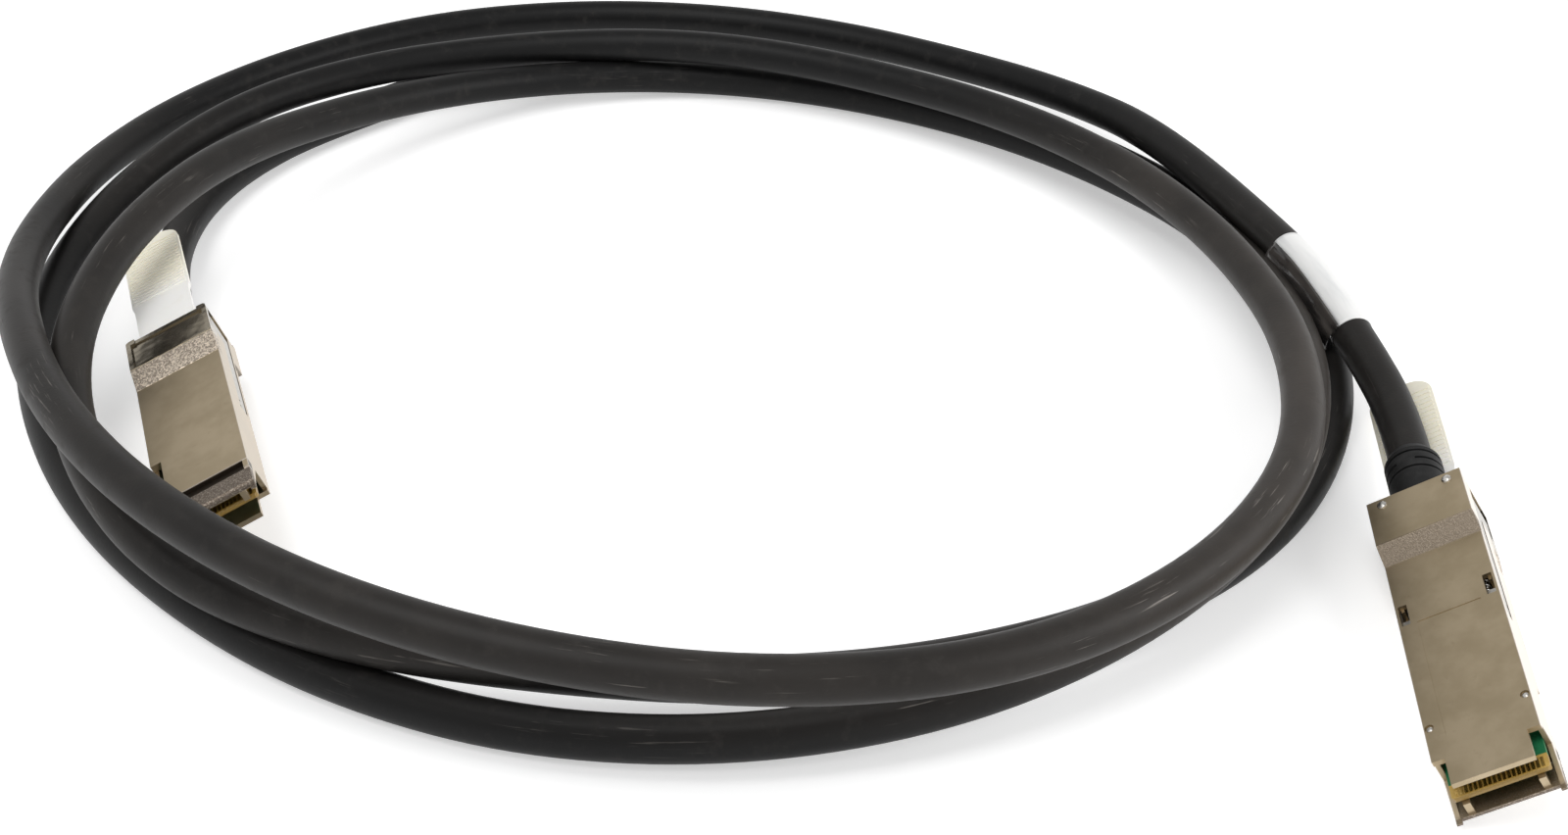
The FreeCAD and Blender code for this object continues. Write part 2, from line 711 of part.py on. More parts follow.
def contact_pads(end):
    """Nineteen gold contacts on each face of the card's edge."""
    body = new_body(end + "_contact_pads")
    loops = []
    for i in range(-9, 10):
        middle = "%d * pad_pitch" % i
        left, right = middle + " - pad_width / 2", middle + " + pad_width / 2"
        loops.append(rect("-pad_setback - pad_length", "-pad_setback", left, right))
    row = sketch_on(body, end + "_pad_row", "XY", loops, lift="card_thickness / 2")
    upper = feature(body, "Pad", end + "_pads", row, "pad_thickness")
    mirror(body, end + "_lower_pads", [upper], "XY")
    seat(body, end, "contact_pads")


def wire_pairs(end):
    """The cable's eight shielded pairs, four on each face of the card."""
    pairs = []
    for face in (1, -1):
        for i in range(4):
            pair = doc.addObject("Part::Cylinder", "%s_pair" % end)
            height = "%d * (card_thickness / 2 + pair_diameter / 2)" % face
            across = "%.1f * pair_spacing" % (i - 1.5)
            pair.Placement.Rotation = Rotation(Vector(0, 1, 0), 90)
            bind(pair, Radius="pair_diameter / 2", Height=BLOCK_FRONT + " - card_length + pair_lap")
            bind(
                pair,
                Placement__Base__x="-" + BLOCK_FRONT,
                Placement__Base__y=across,
                Placement__Base__z=height,
            )
            pairs.append(pair)
    group = doc.addObject("Part::Compound", end + "_wire_pairs")
    group.Links = pairs
    seat(group, end, "wire_pairs")


def core_block(end):
    """The moulded block that holds the pairs between the card and the cable."""
    block = doc.addObject("Part::Box", end + "_core_block")
    length = "core_length - boot_inset - ferrule_length"
    bind(block, Length=length, Width="core_room - 0.2", Height="block_height")
    corner = CORNER_AT % ("-%s - (%s)" % (BLOCK_FRONT, length), "-core_room / 2 + 0.1", SEAM + " + 0.1")
    block.setExpression("Placement", bound(pose_text_at(end, corner)))
    block.Label = end + "_core_block"
    pieces.append(block)


def pose_text_at(end, local):
    """A placement in the plug's frame, carried to the object's frame."""
    return "%s * %s" % (pose_text(end), local)


def turned(end, label, profile):
    """A piece turned about the cable's axis, from (distance ahead of the card's edge, radius) points."""
    body = new_body("%s_%s" % (end, label))
    sketch = sketch_on(body, "%s_%s_profile" % (end, label), "XZ", [profile], shift="-cable_drop")
    made = body.newObject("PartDesign::Revolution", "%s_%s_turned" % (end, label))
    made.Profile = sketch
    made.ReferenceAxis = (sketch, ["H_Axis"])
    made.Angle = 360
    sketch.Visibility = False
    return body


def crimp_ferrule(end):
    """The crimped sleeve that grips the cable's braid inside the shell."""
    rear = "(-plug_length + boot_inset)"
    front = "(-plug_length + boot_inset + ferrule_length)"
    waist = "(ferrule_radius - 0.3)"
    profile = [
        (front, "0"),
        (front, "ferrule_radius"),
        (front + " - 1.4", "ferrule_radius"),
        (front + " - 1.7", waist),
        (front + " - 1.9", waist),
        (front + " - 2", "ferrule_radius"),
        (rear + " + 2", "ferrule_radius"),
        (rear + " + 1.9", waist),
        (rear + " + 1.5", waist),
        (rear + " + 1.2", "ferrule_radius"),
        (rear, "ferrule_radius"),
        (rear, "0"),
    ]
    seat(turned(end, "crimp_ferrule", profile), end, "crimp_ferrule")


def strain_relief(end):
    """The moulded boot: a stem through the rear wall, a ringed collar and a shoulder down to the cable."""
    rear, tail = "(-plug_length)", "(-plug_length - boot_length)"
    profile = [
        ("-plug_length + boot_inset", "0"),
        ("-plug_length + boot_inset", "boot_stem_radius"),
        (rear, "boot_stem_radius"),
        (rear, "boot_shoulder_radius"),
        (rear + " - 5", "boot_collar_radius"),
        (tail + " + 2.2", "boot_collar_radius"),
        (tail + " + 0.8", "boot_end_radius + 0.35"),
        (tail, "boot_end_radius"),
        (tail, "0"),
    ]
    body = turned(end, "strain_relief", profile)
    cut_rings(body, end)
    seat(body, end, "strain_relief")


def cut_rings(body, end):
    """Two full grooves round the collar, and between them one that two bridges interrupt."""
    for i, name in ((0, "first"), (2, "last")):
        place = "-plug_length - ring_first - %d * ring_pitch" % i
        cut_ring(body, end, name, place, "XZ", "0", "-cable_drop").Angle = 360
    middle = "-plug_length - ring_first - ring_pitch"
    groove = cut_ring(body, end, "middle", middle, "XY", "-cable_drop", "0")
    groove.Midplane = True
    bind(groove, Angle="ring_sweep")
    mirror(body, end + "_far_ring", [groove])


def cut_ring(body, end, name, place, plane, lift, shift):
    """A square groove's section turned about the cable's axis."""
    ring = rect(place + " - ring_width", place, "boot_collar_radius - ring_depth", "boot_collar_radius + 1")
    sketch = sketch_on(body, "%s_%s_ring_section" % (end, name), plane, [ring], lift=lift, shift=shift)
    groove = body.newObject("PartDesign::Groove", "%s_%s_ring" % (end, name))
    groove.Profile = sketch
    groove.ReferenceAxis = (sketch, ["H_Axis"])
    sketch.Visibility = False
    return groove


# ---------------------------------------------------------------- the release slide and its pull tab

def release_slide(end):
    """The stamped slide: a plate under the shell's top, an arm down each side, and a foot on each spring."""
    body = new_body(end + "_release_slide")
    rear = "(-" + SLIDE_REAR + ")"
    plate_top = PLATE_BASE + " + slide_plate"
    plate = [
        ("-" + SLIDE_FRONT, "-" + ARM_OUTER),
        ("-" + SLIDE_FRONT, ARM_OUTER),
        (rear, ARM_OUTER),
        (rear, "slide_tongue / 2"),
        (rear + " - slide_lap / 2", "slide_tongue / 2"),
        (rear + " - slide_lap / 2", "-slide_tongue / 2"),
        (rear, "-slide_tongue / 2"),
        (rear, "-" + ARM_OUTER),
    ]
    plan = sketch_on(body, end + "_slide_plate_outline", "XY", [plate], lift=PLATE_BASE)
    feature(body, "Pad", end + "_slide_plate", plan, "slide_plate")
    arm = [
        ("-" + SLIDE_FRONT, plate_top),
        (rear, plate_top),
        (rear, ARM_BASE),
        ("-arm_front - 0.6", ARM_BASE),
        ("-arm_front", ARM_BASE + " + 0.6"),
        ("-arm_front", ARM_TOP + " - 0.9"),
        ("-arm_front - 1.2", ARM_TOP),
        ("-arm_front - 2.4", ARM_TOP),
        ("-arm_front - 3.3", ARM_TOP + " - 0.8"),
        ("-arm_front - 3.3", ARM_TOP),
        ("-" + SLIDE_FRONT, ARM_TOP),
    ]
    side = sketch_on(body, end + "_slide_arm_outline", "XZ", [arm], lift="-" + ARM_OUTER)
    arm_pad = feature(body, "Pad", end + "_slide_arm", side, "sheet")
    toe = rect(
        "-foot_front - foot_length",
        "-foot_front",
        "spring_spacing / 2 - spring_pocket / 2 + 0.2",
        ARM_INNER + " + 0.1",
    )
    foot = sketch_on(body, end + "_slide_foot_outline", "XY", [toe], lift=ARM_BASE)
    foot_pad = feature(body, "Pad", end + "_slide_foot", foot, "foot_height")
    mirror(body, end + "_far_arm", [arm_pad, foot_pad])
    seat(body, end, "release_slide")


def pull_tab(end):
    """The moulded pull tab: bonded round the slide's tongue, widening past its neck, ribbed for grip."""
    body = new_body(end + "_pull_tab")
    front = "(-" + SLIDE_REAR + ")"
    neck = "(-plug_length - tab_neck)"
    tip = "(-plug_length - tab_reach)"
    narrow, wide = "tab_width / 2", "tab_grip_width / 2"
    outline = [
        (front, "-" + narrow),
        (front, narrow),
        (neck, narrow),
        (neck + " - 2.5", wide),
        (tip, wide),
        (tip, "-" + wide),
        (neck + " - 2.5", "-" + wide),
        (neck, "-" + narrow),
    ]
    middle = "slot_base + slot_height / 2"
    plan = sketch_on(body, end + "_tab_outline", "XY", [outline], lift=middle)
    feature(body, "Pad", end + "_tab", plan, "tab_thickness", symmetric=True)
    lap = rect("-slide_tongue / 2", "slide_tongue / 2", PLATE_BASE, PLATE_BASE + " + slide_plate")
    mouth = sketch_on(body, end + "_tab_mouth_outline", "YZ", [lap], lift=front)
    feature(body, "Pocket", end + "_tab_mouth", mouth, "slide_lap / 2")
    x, half = value(tip), value(wide)
    soften(
        body,
        end + "_tab_end",
        lambda p, d: along_z(d) and close(p.x, x) and close(abs(p.y), half),
        "tab_end_radius",
    )
    add_grip_ribs(body, end, tip, middle)
    seat(body, end, "pull_tab")


def add_grip_ribs(body, end, tip, middle):
    """Fine ribs across both faces of the tab, from near its end inwards."""
    start = tip + " + tab_end_radius * 0.8"
    half = "(tab_grip_width / 2 - 0.6)"
    rib = rect(start, start + " + tab_rib_width", "-" + half, half)
    plan = sketch_on(body, end + "_tab_rib_outline", "XY", [rib], lift=middle)
    pad = feature(body, "Pad", end + "_tab_rib", plan, "tab_thickness + 2 * tab_rib_height", symmetric=True)
    row = body.newObject("PartDesign::LinearPattern", end + "_tab_ribs")
    row.Originals = [pad]
    row.Direction = (plan, ["H_Axis"])
    bind(row, Length="tab_rib_pitch * (tab_rib_count - 1)", Occurrences="tab_rib_count")
    body.Tip = row


def return_springs(end):
    """Two coil springs, each between a foot of the slide and the end of its pocket."""
    body = new_body(end + "_return_spring")
    height = ARM_BASE + " + foot_height / 2"
    wire = [
        (
            "-foot_front - foot_length - spring_length + spring_wire / 2 + 0.05",
            "spring_radius",
            "spring_wire / 2",
        )
    ]
    sketch = sketch_on(
        body, end + "_spring_wire_section", "XY", circles=wire, lift=height, shift="spring_spacing / 2"
    )
    coil = body.newObject("PartDesign::AdditiveHelix", end + "_spring_coil")
    coil.Profile = sketch
    coil.ReferenceAxis = (sketch, ["H_Axis"])
    coil.Mode = "height-turns-angle"
    bind(coil, Height="spring_length - spring_wire - 0.1", Turns="spring_turns")
    sketch.Visibility = False
    group = both_sides(body, end + "_return_springs")
    seat(group, end, "return_springs")


def both_sides(source, name):
    """A piece and its mirror image across the plug's middle plane, as one group of separate solids."""
    far = doc.addObject("Part::Mirroring", name + "_far")
    far.Source = source
    far.Base = Vector(0, 0, 0)
    far.Normal = Vector(0, 1, 0)
    group = doc.addObject("Part::Compound", name)
    group.Links = [source, far]
    return group


def rivets(end, which, setback, top, base):
    """A pair of domed rivets through the cover into the top housing."""
    body = new_body("%s_%s_rivet" % (end, which))
    size = which + "_rivet"
    shank, head, dome = size + "_shank", size + "_head", size + "_dome"
    profile = [
        ("0", top + " + rivet_grip"),
        (shank, top + " + rivet_grip"),
        (shank, base),
        (head, base),
        (head + " * 0.94", base + " - %s * 0.4" % dome),
        (head + " * 0.74", base + " - %s * 0.72" % dome),
        (head + " * 0.4", base + " - %s * 0.94" % dome),
        ("0", base + " - " + dome),
    ]
    sketch = sketch_on(body, "%s_%s_rivet_profile" % (end, which), "YZ", [profile], lift="-" + setback)
    bind(sketch, AttachmentOffset__Base__x="%s_spacing / 2" % size)
    made = body.newObject("PartDesign::Revolution", "%s_%s_rivet_turned" % (end, which))
    made.Profile = sketch
    made.ReferenceAxis = (sketch, ["V_Axis"])
    made.Angle = 360
    sketch.Visibility = False
    seat(both_sides(body, "%s_%s_rivets" % (end, which)), end, which + "_rivets")


# ---------------------------------------------------------------- the cable

def tube_path(points):
    """Straight runs joined by tangent arcs, each arc as large as its two runs allow."""
    edges, radii = [], []
    start = points[0]
    for before, here, after in zip(points, points[1:], points[2:]):
        back, on = before - here, after - here
        half_turn = (math.pi - back.getAngle(on)) / 2
        reach = 0.45 * min(back.Length, on.Length)
        radii.append(reach / math.tan(half_turn))
        back.normalize()
        on.normalize()
        enter, leave = here + back * reach, here + on * reach
        bisector = (back + on).normalize()
        middle = here + bisector * (radii[-1] / math.cos(half_turn) - radii[-1])
        edges.append(Part.LineSegment(start, enter).toShape())
        edges.append(Part.Arc(enter, middle, leave).toShape())
        start = leave
    edges.append(Part.LineSegment(start, points[-1]).toShape())
    return Part.Wire(edges), radii


def tube(label, points):
    """A stretch of the cable as a round tube swept along its path."""
    wire, radii = tube_path(points)
    path = doc.addObject("Part::Feature", label + "_path")
    path.Shape = wire
    section = doc.addObject("Part::Circle", label + "_section")
    bind(section, Radius=CABLE_RADIUS)
    section.Placement = Placement(points[0], Rotation(Vector(0, 0, 1), points[1] - points[0]))
    swept = doc.addObject("Part::Sweep", label)
    swept.Sections = [section]
    swept.Spine = (path, ["Edge%d" % (i + 1) for i in range(len(wire.Edges))])
    swept.Solid = True
    swept.Label = label
    pieces.append(swept)
    print("%s: %.0f mm, arc radii %s" % (label, wire.Length, [round(r) for r in radii]))
    return wire


def boot_tail(end, behind=0.0):
    """The middle of the boot's end face, or a point that far behind it, in the object's frame."""
    tail = -value("plug_length") - value("boot_length") - behind
    return pose(end).multVec(Vector(tail, 0, -value("cable_drop")))


def pile_outline(station):
    """How far in and out the pile of turns reaches at a station, and how high at each side."""
    skipped = LEAVES_PILE.get(station * STEP, [])
    turns = [turn for i, turn in enumerate(TURNS) if station < len(turn["radius"]) and i not in skipped]
    spots = [(turn["radius"][station], turn["height"][station]) for turn in turns]
    half = value(CABLE_RADIUS)
    first, last = min(r for r, _ in spots), max(r for r, _ in spots)
    inner_top = max(z - PILE_SLOPE * (r - first) for r, z in spots) + half
    outer_top = max(z - PILE_SLOPE * (last - r) for r, z in spots) + half
    return first - half, last + half, inner_top, outer_top


def between(stations, angle):
    """A smooth value between stations that are evenly spaced round the coil."""
    count = len(stations)
    whole, part = divmod(angle / STEP, 1)
    before, here, after, beyond = (stations[(int(whole) + i) % count] for i in (-1, 0, 1, 2))
    slope, next_slope = (after - before) / 2, (beyond - here) / 2
    rise = after - here
    square = 3 * rise - 2 * slope - next_slope
    cube = slope + next_slope - 2 * rise
    return here + part * (slope + part * (square + part * cube))


def rounded_section(corners, radius):
    """A closed wire through four (radius, height) corners, each rounded by the same radius."""
    edges = []
    count = len(corners)
    trims = []
    for i in range(count):
        here, before, after = corners[i], corners[i - 1], corners[(i + 1) % count]
        back, on = before - here, after - here
        reach = radius / math.tan(back.getAngle(on) / 2)
        bend = radius / math.sin(back.getAngle(on) / 2) - radius
        back.normalize()
        on.normalize()
        trims.append((here + back * reach, here + (back + on).normalize() * bend, here + on * reach))
    for i, (enter, middle, leave) in enumerate(trims):
        edges.append(Part.Arc(enter, middle, leave).toShape())
        edges.append(Part.LineSegment(leave, trims[(i + 1) % count][0]).toShape())
    return Part.Wire(edges)


def coil():
    """One closed solid of the outer shape of the pile of turns, relieved where the held plug lies."""
    outlines = list(zip(*[pile_outline(station) for station in range(360 // STEP)]))
    centre = Vector(value("coil_x"), value("coil_y"), 0)
    sections = []
    for angle in range(0, 360, SECTION_STEP):
        inner, outer, inner_top, outer_top = (between(stations, angle) for stations in outlines)
        across = Vector(math.cos(math.radians(angle)), math.sin(math.radians(angle)), 0)
        corners = [
            centre + across * inner,
            centre + across * outer,
            centre + across * outer + Vector(0, 0, outer_top),
            centre + across * inner + Vector(0, 0, inner_top),
        ]
        section = doc.addObject("Part::Feature", "coil_section")
        section.Shape = rounded_section(corners, value("coil_corner"))
        sections.append(section)
    ring = doc.addObject("Part::Loft", "coil_pile")
    ring.Sections = sections
    ring.Solid = True
    ring.Ruled = True
    ring.Closed = True
    relief = doc.addObject("Part::Box", "coil_relief")
    length = "plug_length + nose_reach + nose_foot + travel + 2 * relief_gap"
    height = "cage_height + top_rise + base_drop + 2 * relief_gap"
    bind(relief, Length=length, Width="plug_width + 2 * relief_gap", Height=height)
    behind = "-plug_length - travel - relief_gap"
    corner = CORNER_AT % (behind, "-plug_width / 2 - relief_gap", SHELL_BASE + " - relief_gap")
    relief.setExpression("Placement", bound(pose_text_at("left", corner)))
    cut = doc.addObject("Part::Cut", "cable_coil")
    cut.Base = ring
    cut.Tool = relief
    cut.Label = "cable_coil"
    pieces.append(cut)


def stretch(wire, start, length):
    """The part of a lead's middle line from one distance along it to another."""
    parts, passed = [], 0.0
    for edge in wire.Edges:
        low, high = max(start - passed, 0.0), min(start + length - passed, edge.Length)
        if high - low > 0.01:
            parts.append(edge.Curve.toShape(edge.getParameterByLength(low), edge.getParameterByLength(high)))
        passed += edge.Length
    return Part.Wire(parts)


def wrap(label, wire, turn, wound):
    """A band bonded round part of the cable, from one angle round it through another."""
    start, sweep = math.radians(value(turn)), math.radians(value(wound))
    spine = stretch(wire, value("label_start"), value("label_length"))
    first = spine.Edges[0]
    place = first.valueAt(first.FirstParameter)
    rotation = Rotation(Vector(0, 0, 1), first.tangentAt(first.FirstParameter))
    inner = value(CABLE_RADIUS)
    outer = inner + value("label_thickness")
    corners = [Vector(math.cos(a), math.sin(a), 0) for a in (start, start + sweep / 2, start + sweep)]
    band = Part.Wire([
        Part.Arc(*[c * inner for c in corners]).toShape(),
        Part.LineSegment(corners[2] * inner, corners[2] * outer).toShape(),
        Part.Arc(*[c * outer for c in reversed(corners)]).toShape(),
        Part.LineSegment(corners[0] * outer, corners[0] * inner).toShape(),
    ])
    band.Placement = Placement(place, rotation)
    piece = doc.addObject("Part::Feature", label)
    piece.Shape = spine.makePipeShell([band], True, False)
    piece.Label = label
    pieces.append(piece)


def cable():
    """The coil, the lead from each boot, the strand that crosses the held plug's tab, and the label."""
    coil()
    right = [boot_tail("right")] + [Vector(*p) for p in RIGHT_LEAD]
    left = [boot_tail("left")] + [Vector(*p) for p in LEFT_LEAD]
    lead = tube("right_lead", right)
    tube("left_lead", left)
    tube("cable_crossing", [Vector(*p) for p in CROSSING])
    wrap("label_band", lead, "label_turn", "label_sweep")
    wrap("label_laminate", lead, "label_turn + label_sweep", "360 - label_sweep")


# ---------------------------------------------------------------- build, check and export

def plug(end):
    top_housing(end)
    bottom_cover(end)
    paddle_card(end)
    contact_pads(end)
    wire_pairs(end)
    core_block(end)
    crimp_ferrule(end)
    strain_relief(end)
    release_slide(end)
    pull_tab(end)
    return_springs(end)
    rivets(end, "rear", REAR_RIVET, SHELL_SEAM, SHELL_BASE)
    rivets(end, "front", "front_rivet_setback", SEAM, "(-cage_height / 2 + front_rivet_sink)")


for side_name in ENDS:
    plug(side_name)
cable()
doc.recompute()

for obj in doc.Objects:
    if "Invalid" in obj.State or "Error" in obj.State:
        raise RuntimeError("%s did not build: %s" % (obj.Label, obj.State))
os.makedirs("parts", exist_ok=True)
for obj in pieces:
    if obj.Shape.isNull() or not obj.Shape.isValid() or not obj.Shape.Solids:
        raise RuntimeError("%s has no valid solid" % obj.Label)
    obj.Shape.exportStep("parts/%s.step" % obj.Label)
    box = obj.Shape.BoundBox
    print(
        "%-24s %2d solids %9.1f mm3  x %.1f..%.1f y %.1f..%.1f z %.2f..%.2f"
        % (
            (obj.Label, len(obj.Shape.Solids), obj.Shape.Volume)
            + (box.XMin, box.XMax, box.YMin, box.YMax, box.ZMin, box.ZMax)
        )
    )
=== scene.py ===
import math

import bmesh
import bpy
from mathutils import Euler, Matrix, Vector


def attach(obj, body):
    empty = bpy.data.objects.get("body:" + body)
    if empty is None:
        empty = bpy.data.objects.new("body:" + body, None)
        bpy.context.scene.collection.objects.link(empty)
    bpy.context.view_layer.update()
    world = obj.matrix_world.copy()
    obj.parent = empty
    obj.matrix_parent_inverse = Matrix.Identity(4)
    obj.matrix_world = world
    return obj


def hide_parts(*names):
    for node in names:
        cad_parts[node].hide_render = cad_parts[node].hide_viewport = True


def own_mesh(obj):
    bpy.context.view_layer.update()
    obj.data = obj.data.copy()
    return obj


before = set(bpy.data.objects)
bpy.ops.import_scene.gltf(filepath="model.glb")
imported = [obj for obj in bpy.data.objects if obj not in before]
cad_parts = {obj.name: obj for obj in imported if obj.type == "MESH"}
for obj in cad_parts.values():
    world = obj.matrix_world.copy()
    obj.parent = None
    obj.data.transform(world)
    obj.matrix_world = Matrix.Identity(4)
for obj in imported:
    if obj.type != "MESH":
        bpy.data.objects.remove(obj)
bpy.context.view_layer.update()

MM = 0.001
TURN = 2 * math.pi

# The cable's route, from the lying plug's boot to the held plug's: points chosen where it isn't
# coiled, and the distance from the coil's centre and the height of each turn where it is.
# Millimetres, in the object's frame.
CABLE_DIAMETER = 8.4
FLOOR_GAP = 0.05
RIGHT_BOOT = (132.3, 11.7, 11.43)
LEFT_BOOT = (-124.3, 44.8, 8.43)
RIGHT_LEAD = [
    (132.3, 27.7, 11.5),
    (128.6, 46.7, 12.6),
    (123.0, 66.7, 14.2),
    (117.3, 84.7, 15.0),
]
LEFT_LEAD = [
    (-122.0, 144.2, 4.8),
    (-133.2, 123.7, 5.2),
    (-138.4, 102.7, 5.5),
    (-137.6, 81.7, 5.9),
    (-132.1, 61.8, 6.8),
]
COIL_CENTRE = (-26.2, 74.6)
TURNS = [
    {
        "radius": [148, 135, 136, 145, 153, 150, 138, 131, 139, 153, 164, 155],
        "height": [13.1, 12.8, 6.1, 4.3, 4.8, 6.5, 13.7, 26.3, 31.6, 30.6, 25.2, 22.3],
    },
    {
        "radius": [128, 108, 101, 105, 114, 128, 134, 131, 134, 144, 153, 153],
        "height": [20.3, 18.3, 15.3, 14.5, 13.4, 12.6, 4.8, 4.3, 4.3, 4.3, 8.2, 13.5],
    },
    {
        "radius": [139, 120, 109, 107, 103, 99, 104, 124, 137, 134, 141, 153],
        "height": [10.6, 6.8, 4.9, 4.6, 9.3, 17.6, 25.5, 21.6, 14.0, 10.1, 5.8, 4.3],
    },
    {
        "radius": [149, 130, 118, 118, 122],
        "height": [4.3, 4.3, 4.4, 4.6, 4.3],
    },
]

# Degrees round the coil: between the stations of a turn, and between the points of the spline.
STATION = 30
STEP = 15

# How finely the cable and the label's films are made.
ROUTE_STEPS = 10
JACKET_SIDES = 32
FILM_RINGS = 36
FILM_SIDES = 28

# The label's place along the cable from the lying plug's boot, and the waves in its loose film.
LABEL_START = 43.0
LABEL_LENGTH = 33.5
WAVE_LENGTH = 24.0

# Where each plug lies: the middle of its card's edge, in millimetres, and then its roll, tip and
# turn in degrees.
PLUGS = {
    "right": ((133.4, -74.3, 9.79), (-147.4, 0.0, -90.0)),
    "left": ((-89.3, -33.1, 17.9), (20.2, -5.1, -65.4)),
}

# How far the floor runs each way, in metres.
FLOOR_REACH = 6.0

# Where the finishes change on a plug, in millimetres of its own frame: along it from the card's
# edge (below 0 behind it), and up from its middle towards the tab's side. A pair holds the two ends
# of a stretch, or the values where a finish starts and where it is full.
ALONG = {
    "lip": (-4.2, -4.0),
    "lip_rim": (-4.1, -3.7),
    "groove": (-6.68, -4.0),
    "groove_rim": (-6.75, -6.5),
    "ramp": (-59.0, -52.3),
    "sunk_field": (-59.0, -59.3),
    "cover_ramp": (-59.5, -56.1),
    "bare_laminate": (-3.25, -3.15),
    "tab_tip": (-84.0, -100.0),
}
UP = {
    "top": (2.6, 3.0),
    "groove": (2.6, 4.08),
    "rim": (4.08, 4.14),
    "cover": (-3.6, -4.0),
}

# How far out from a plug's middle its flanks start, and from the card's middle its two faces.
FLANK = (9.0, 9.15)
CARD_FACE = (0.47, 0.49)

# Colours of the nickel plate: a dark and a light one where a pattern mixes them.
NICKEL = {
    "flat": ((0.39, 0.315, 0.205, 1), (0.465, 0.38, 0.258, 1)),
    "stain": (0.25, 0.195, 0.12, 1),
    # Painted highlight: the flanks get this lighter colour, as the light falls on them.
    "flank": (0.77, 0.71, 0.645, 1),
    # Painted light: the ramp's lighter colour stands for the light it faces, and its bright specks
    # are painted glints.
    "ramp": ((0.32, 0.27, 0.22, 1), (0.8, 0.7, 0.58, 1)),
    "lip": ((0.15, 0.12, 0.095, 1), (0.38, 0.33, 0.275, 1)),
    # Painted reflection: the sunk field is painted darker for the dark cable it reflects.
    "sunk_field": ((0.24, 0.21, 0.155, 1), (0.38, 0.33, 0.25, 1)),
    # Painted shade: the cover's ramp is painted darker, as it lies in slight shade.
    "cover_ramp": ((0.21, 0.172, 0.13, 1), (0.29, 0.242, 0.19, 1)),
    # Painted shade: the groove is painted dark, as shade falls into it.
    "groove": (0.085, 0.07, 0.055, 1),
    # Painted highlight: a bright line along the rims of the groove and the lip.
    "rim": (0.72, 0.66, 0.58, 1),
}


# ---------------------------------------------------------------- node helpers

def add(tree, kind, inputs=None, **settings):
    """A new node with its settings, and its inputs set or linked."""
    node = tree.nodes.new(kind)
    for name, setting in settings.items():
        setattr(node, name, setting)
    for name, given in (inputs or {}).items():
        if isinstance(given, bpy.types.NodeSocket):
            tree.links.new(given, node.inputs[name])
        else:
            node.inputs[name].default_value = given
    return node


def arithmetic(tree, operation, first, *others):
    """An operation on one measure, or on several in turn from the first."""
    if not others:
        return add(tree, "ShaderNodeMath", {0: first}, operation=operation).outputs[0]
    for other in others:
        first = add(tree, "ShaderNodeMath", {0: first, 1: other}, operation=operation).outputs[0]
    return first


def product(tree, *factors):
    """Measures multiplied together."""
    return arithmetic(tree, "MULTIPLY", *factors)


def largest(tree, *measures):
    """The largest of some measures."""
    return arithmetic(tree, "MAXIMUM", *measures)


def apart(tree, vector):
    """The three parts of a vector."""
    node = add(tree, "ShaderNodeSeparateXYZ", {"Vector": vector})
    return node.outputs[0], node.outputs[1], node.outputs[2]


def spread(tree, measure, low, high, start=0.0, end=1.0):
    """A measure that runs from start to end, made to run from low to high."""
    inputs = {"Value": measure, "From Min": start, "From Max": end, "To Min": low, "To Max": high}
    return add(tree, "ShaderNodeMapRange", inputs).outputs["Result"]


def rising(tree, measure, low, high):
    """0 up to low, 1 from high on, and a smooth rise between. Low may be the larger."""
    inputs = {"Value": measure, "From Min": low, "From Max": high}
    node = add(tree, "ShaderNodeMapRange", inputs, interpolation_type="SMOOTHSTEP")
    return node.outputs["Result"]


def between(tree, measure, low, high, soft):
    """1 between two values and 0 outside them, with soft borders."""
    up = rising(tree, measure, low - soft, low + soft)
    down = rising(tree, measure, high - soft, high + soft)
    return arithmetic(tree, "SUBTRACT", up, down)


def blended(tree, share, first, second):
    """Two colours mixed by the second one's share."""
    return add(tree, "ShaderNodeMix", {0: share, 6: first, 7: second}, data_type="RGBA").outputs[2]


def cloudy(tree, place, scale, detail=3.0, roughness=0.5, stretch=None):
    """A soft random pattern, its scale in lumps to the millimetre. It can be stretched."""
    if stretch:
        inputs = {"Vector": place, "Scale": stretch}
        place = add(tree, "ShaderNodeMapping", inputs).outputs["Vector"]
    inputs = {"Vector": place, "Scale": scale, "Detail": detail, "Roughness": roughness}
    return add(tree, "ShaderNodeTexNoise", inputs).outputs["Fac"]


def object_millimetres(tree):
    """Places on the object in millimetres."""
    place = add(tree, "ShaderNodeTexCoord").outputs["Object"]
    scale = (1 / MM, 1 / MM, 1 / MM)
    return add(tree, "ShaderNodeMapping", {"Vector": place, "Scale": scale}).outputs["Vector"]


def plug_millimetres(tree, end):
    """Places in a plug's own frame: x from the card's edge towards the nose, z towards the tab."""
    spot, angles = PLUGS[end]
    inputs = {
        "Vector": add(tree, "ShaderNodeTexCoord").outputs["Object"],
        "Location": [c * MM for c in spot],
        "Rotation": [math.radians(a) for a in angles],
        "Scale": (MM, MM, MM),
    }
    return add(tree, "ShaderNodeMapping", inputs, vector_type="TEXTURE").outputs["Vector"]


def place_along(tree):
    """Places on the cable in millimetres: along it, across from its middle line, and up from it."""
    return add(tree, "ShaderNodeAttribute", attribute_name="along").outputs["Vector"]


# ---------------------------------------------------------------- finishes

def finish_named(name, roughness, metallic=0.0, specular=None):
    """A material, with its node tree and its shader."""
    material = bpy.data.materials.new(name)
    material.use_nodes = True
    shader = material.node_tree.nodes["Principled BSDF"]
    shader.inputs["Metallic"].default_value = metallic
    shader.inputs["Roughness"].default_value = roughness
    if specular is not None:
        shader.inputs["Specular IOR Level"].default_value = specular
    return material, material.node_tree, shader


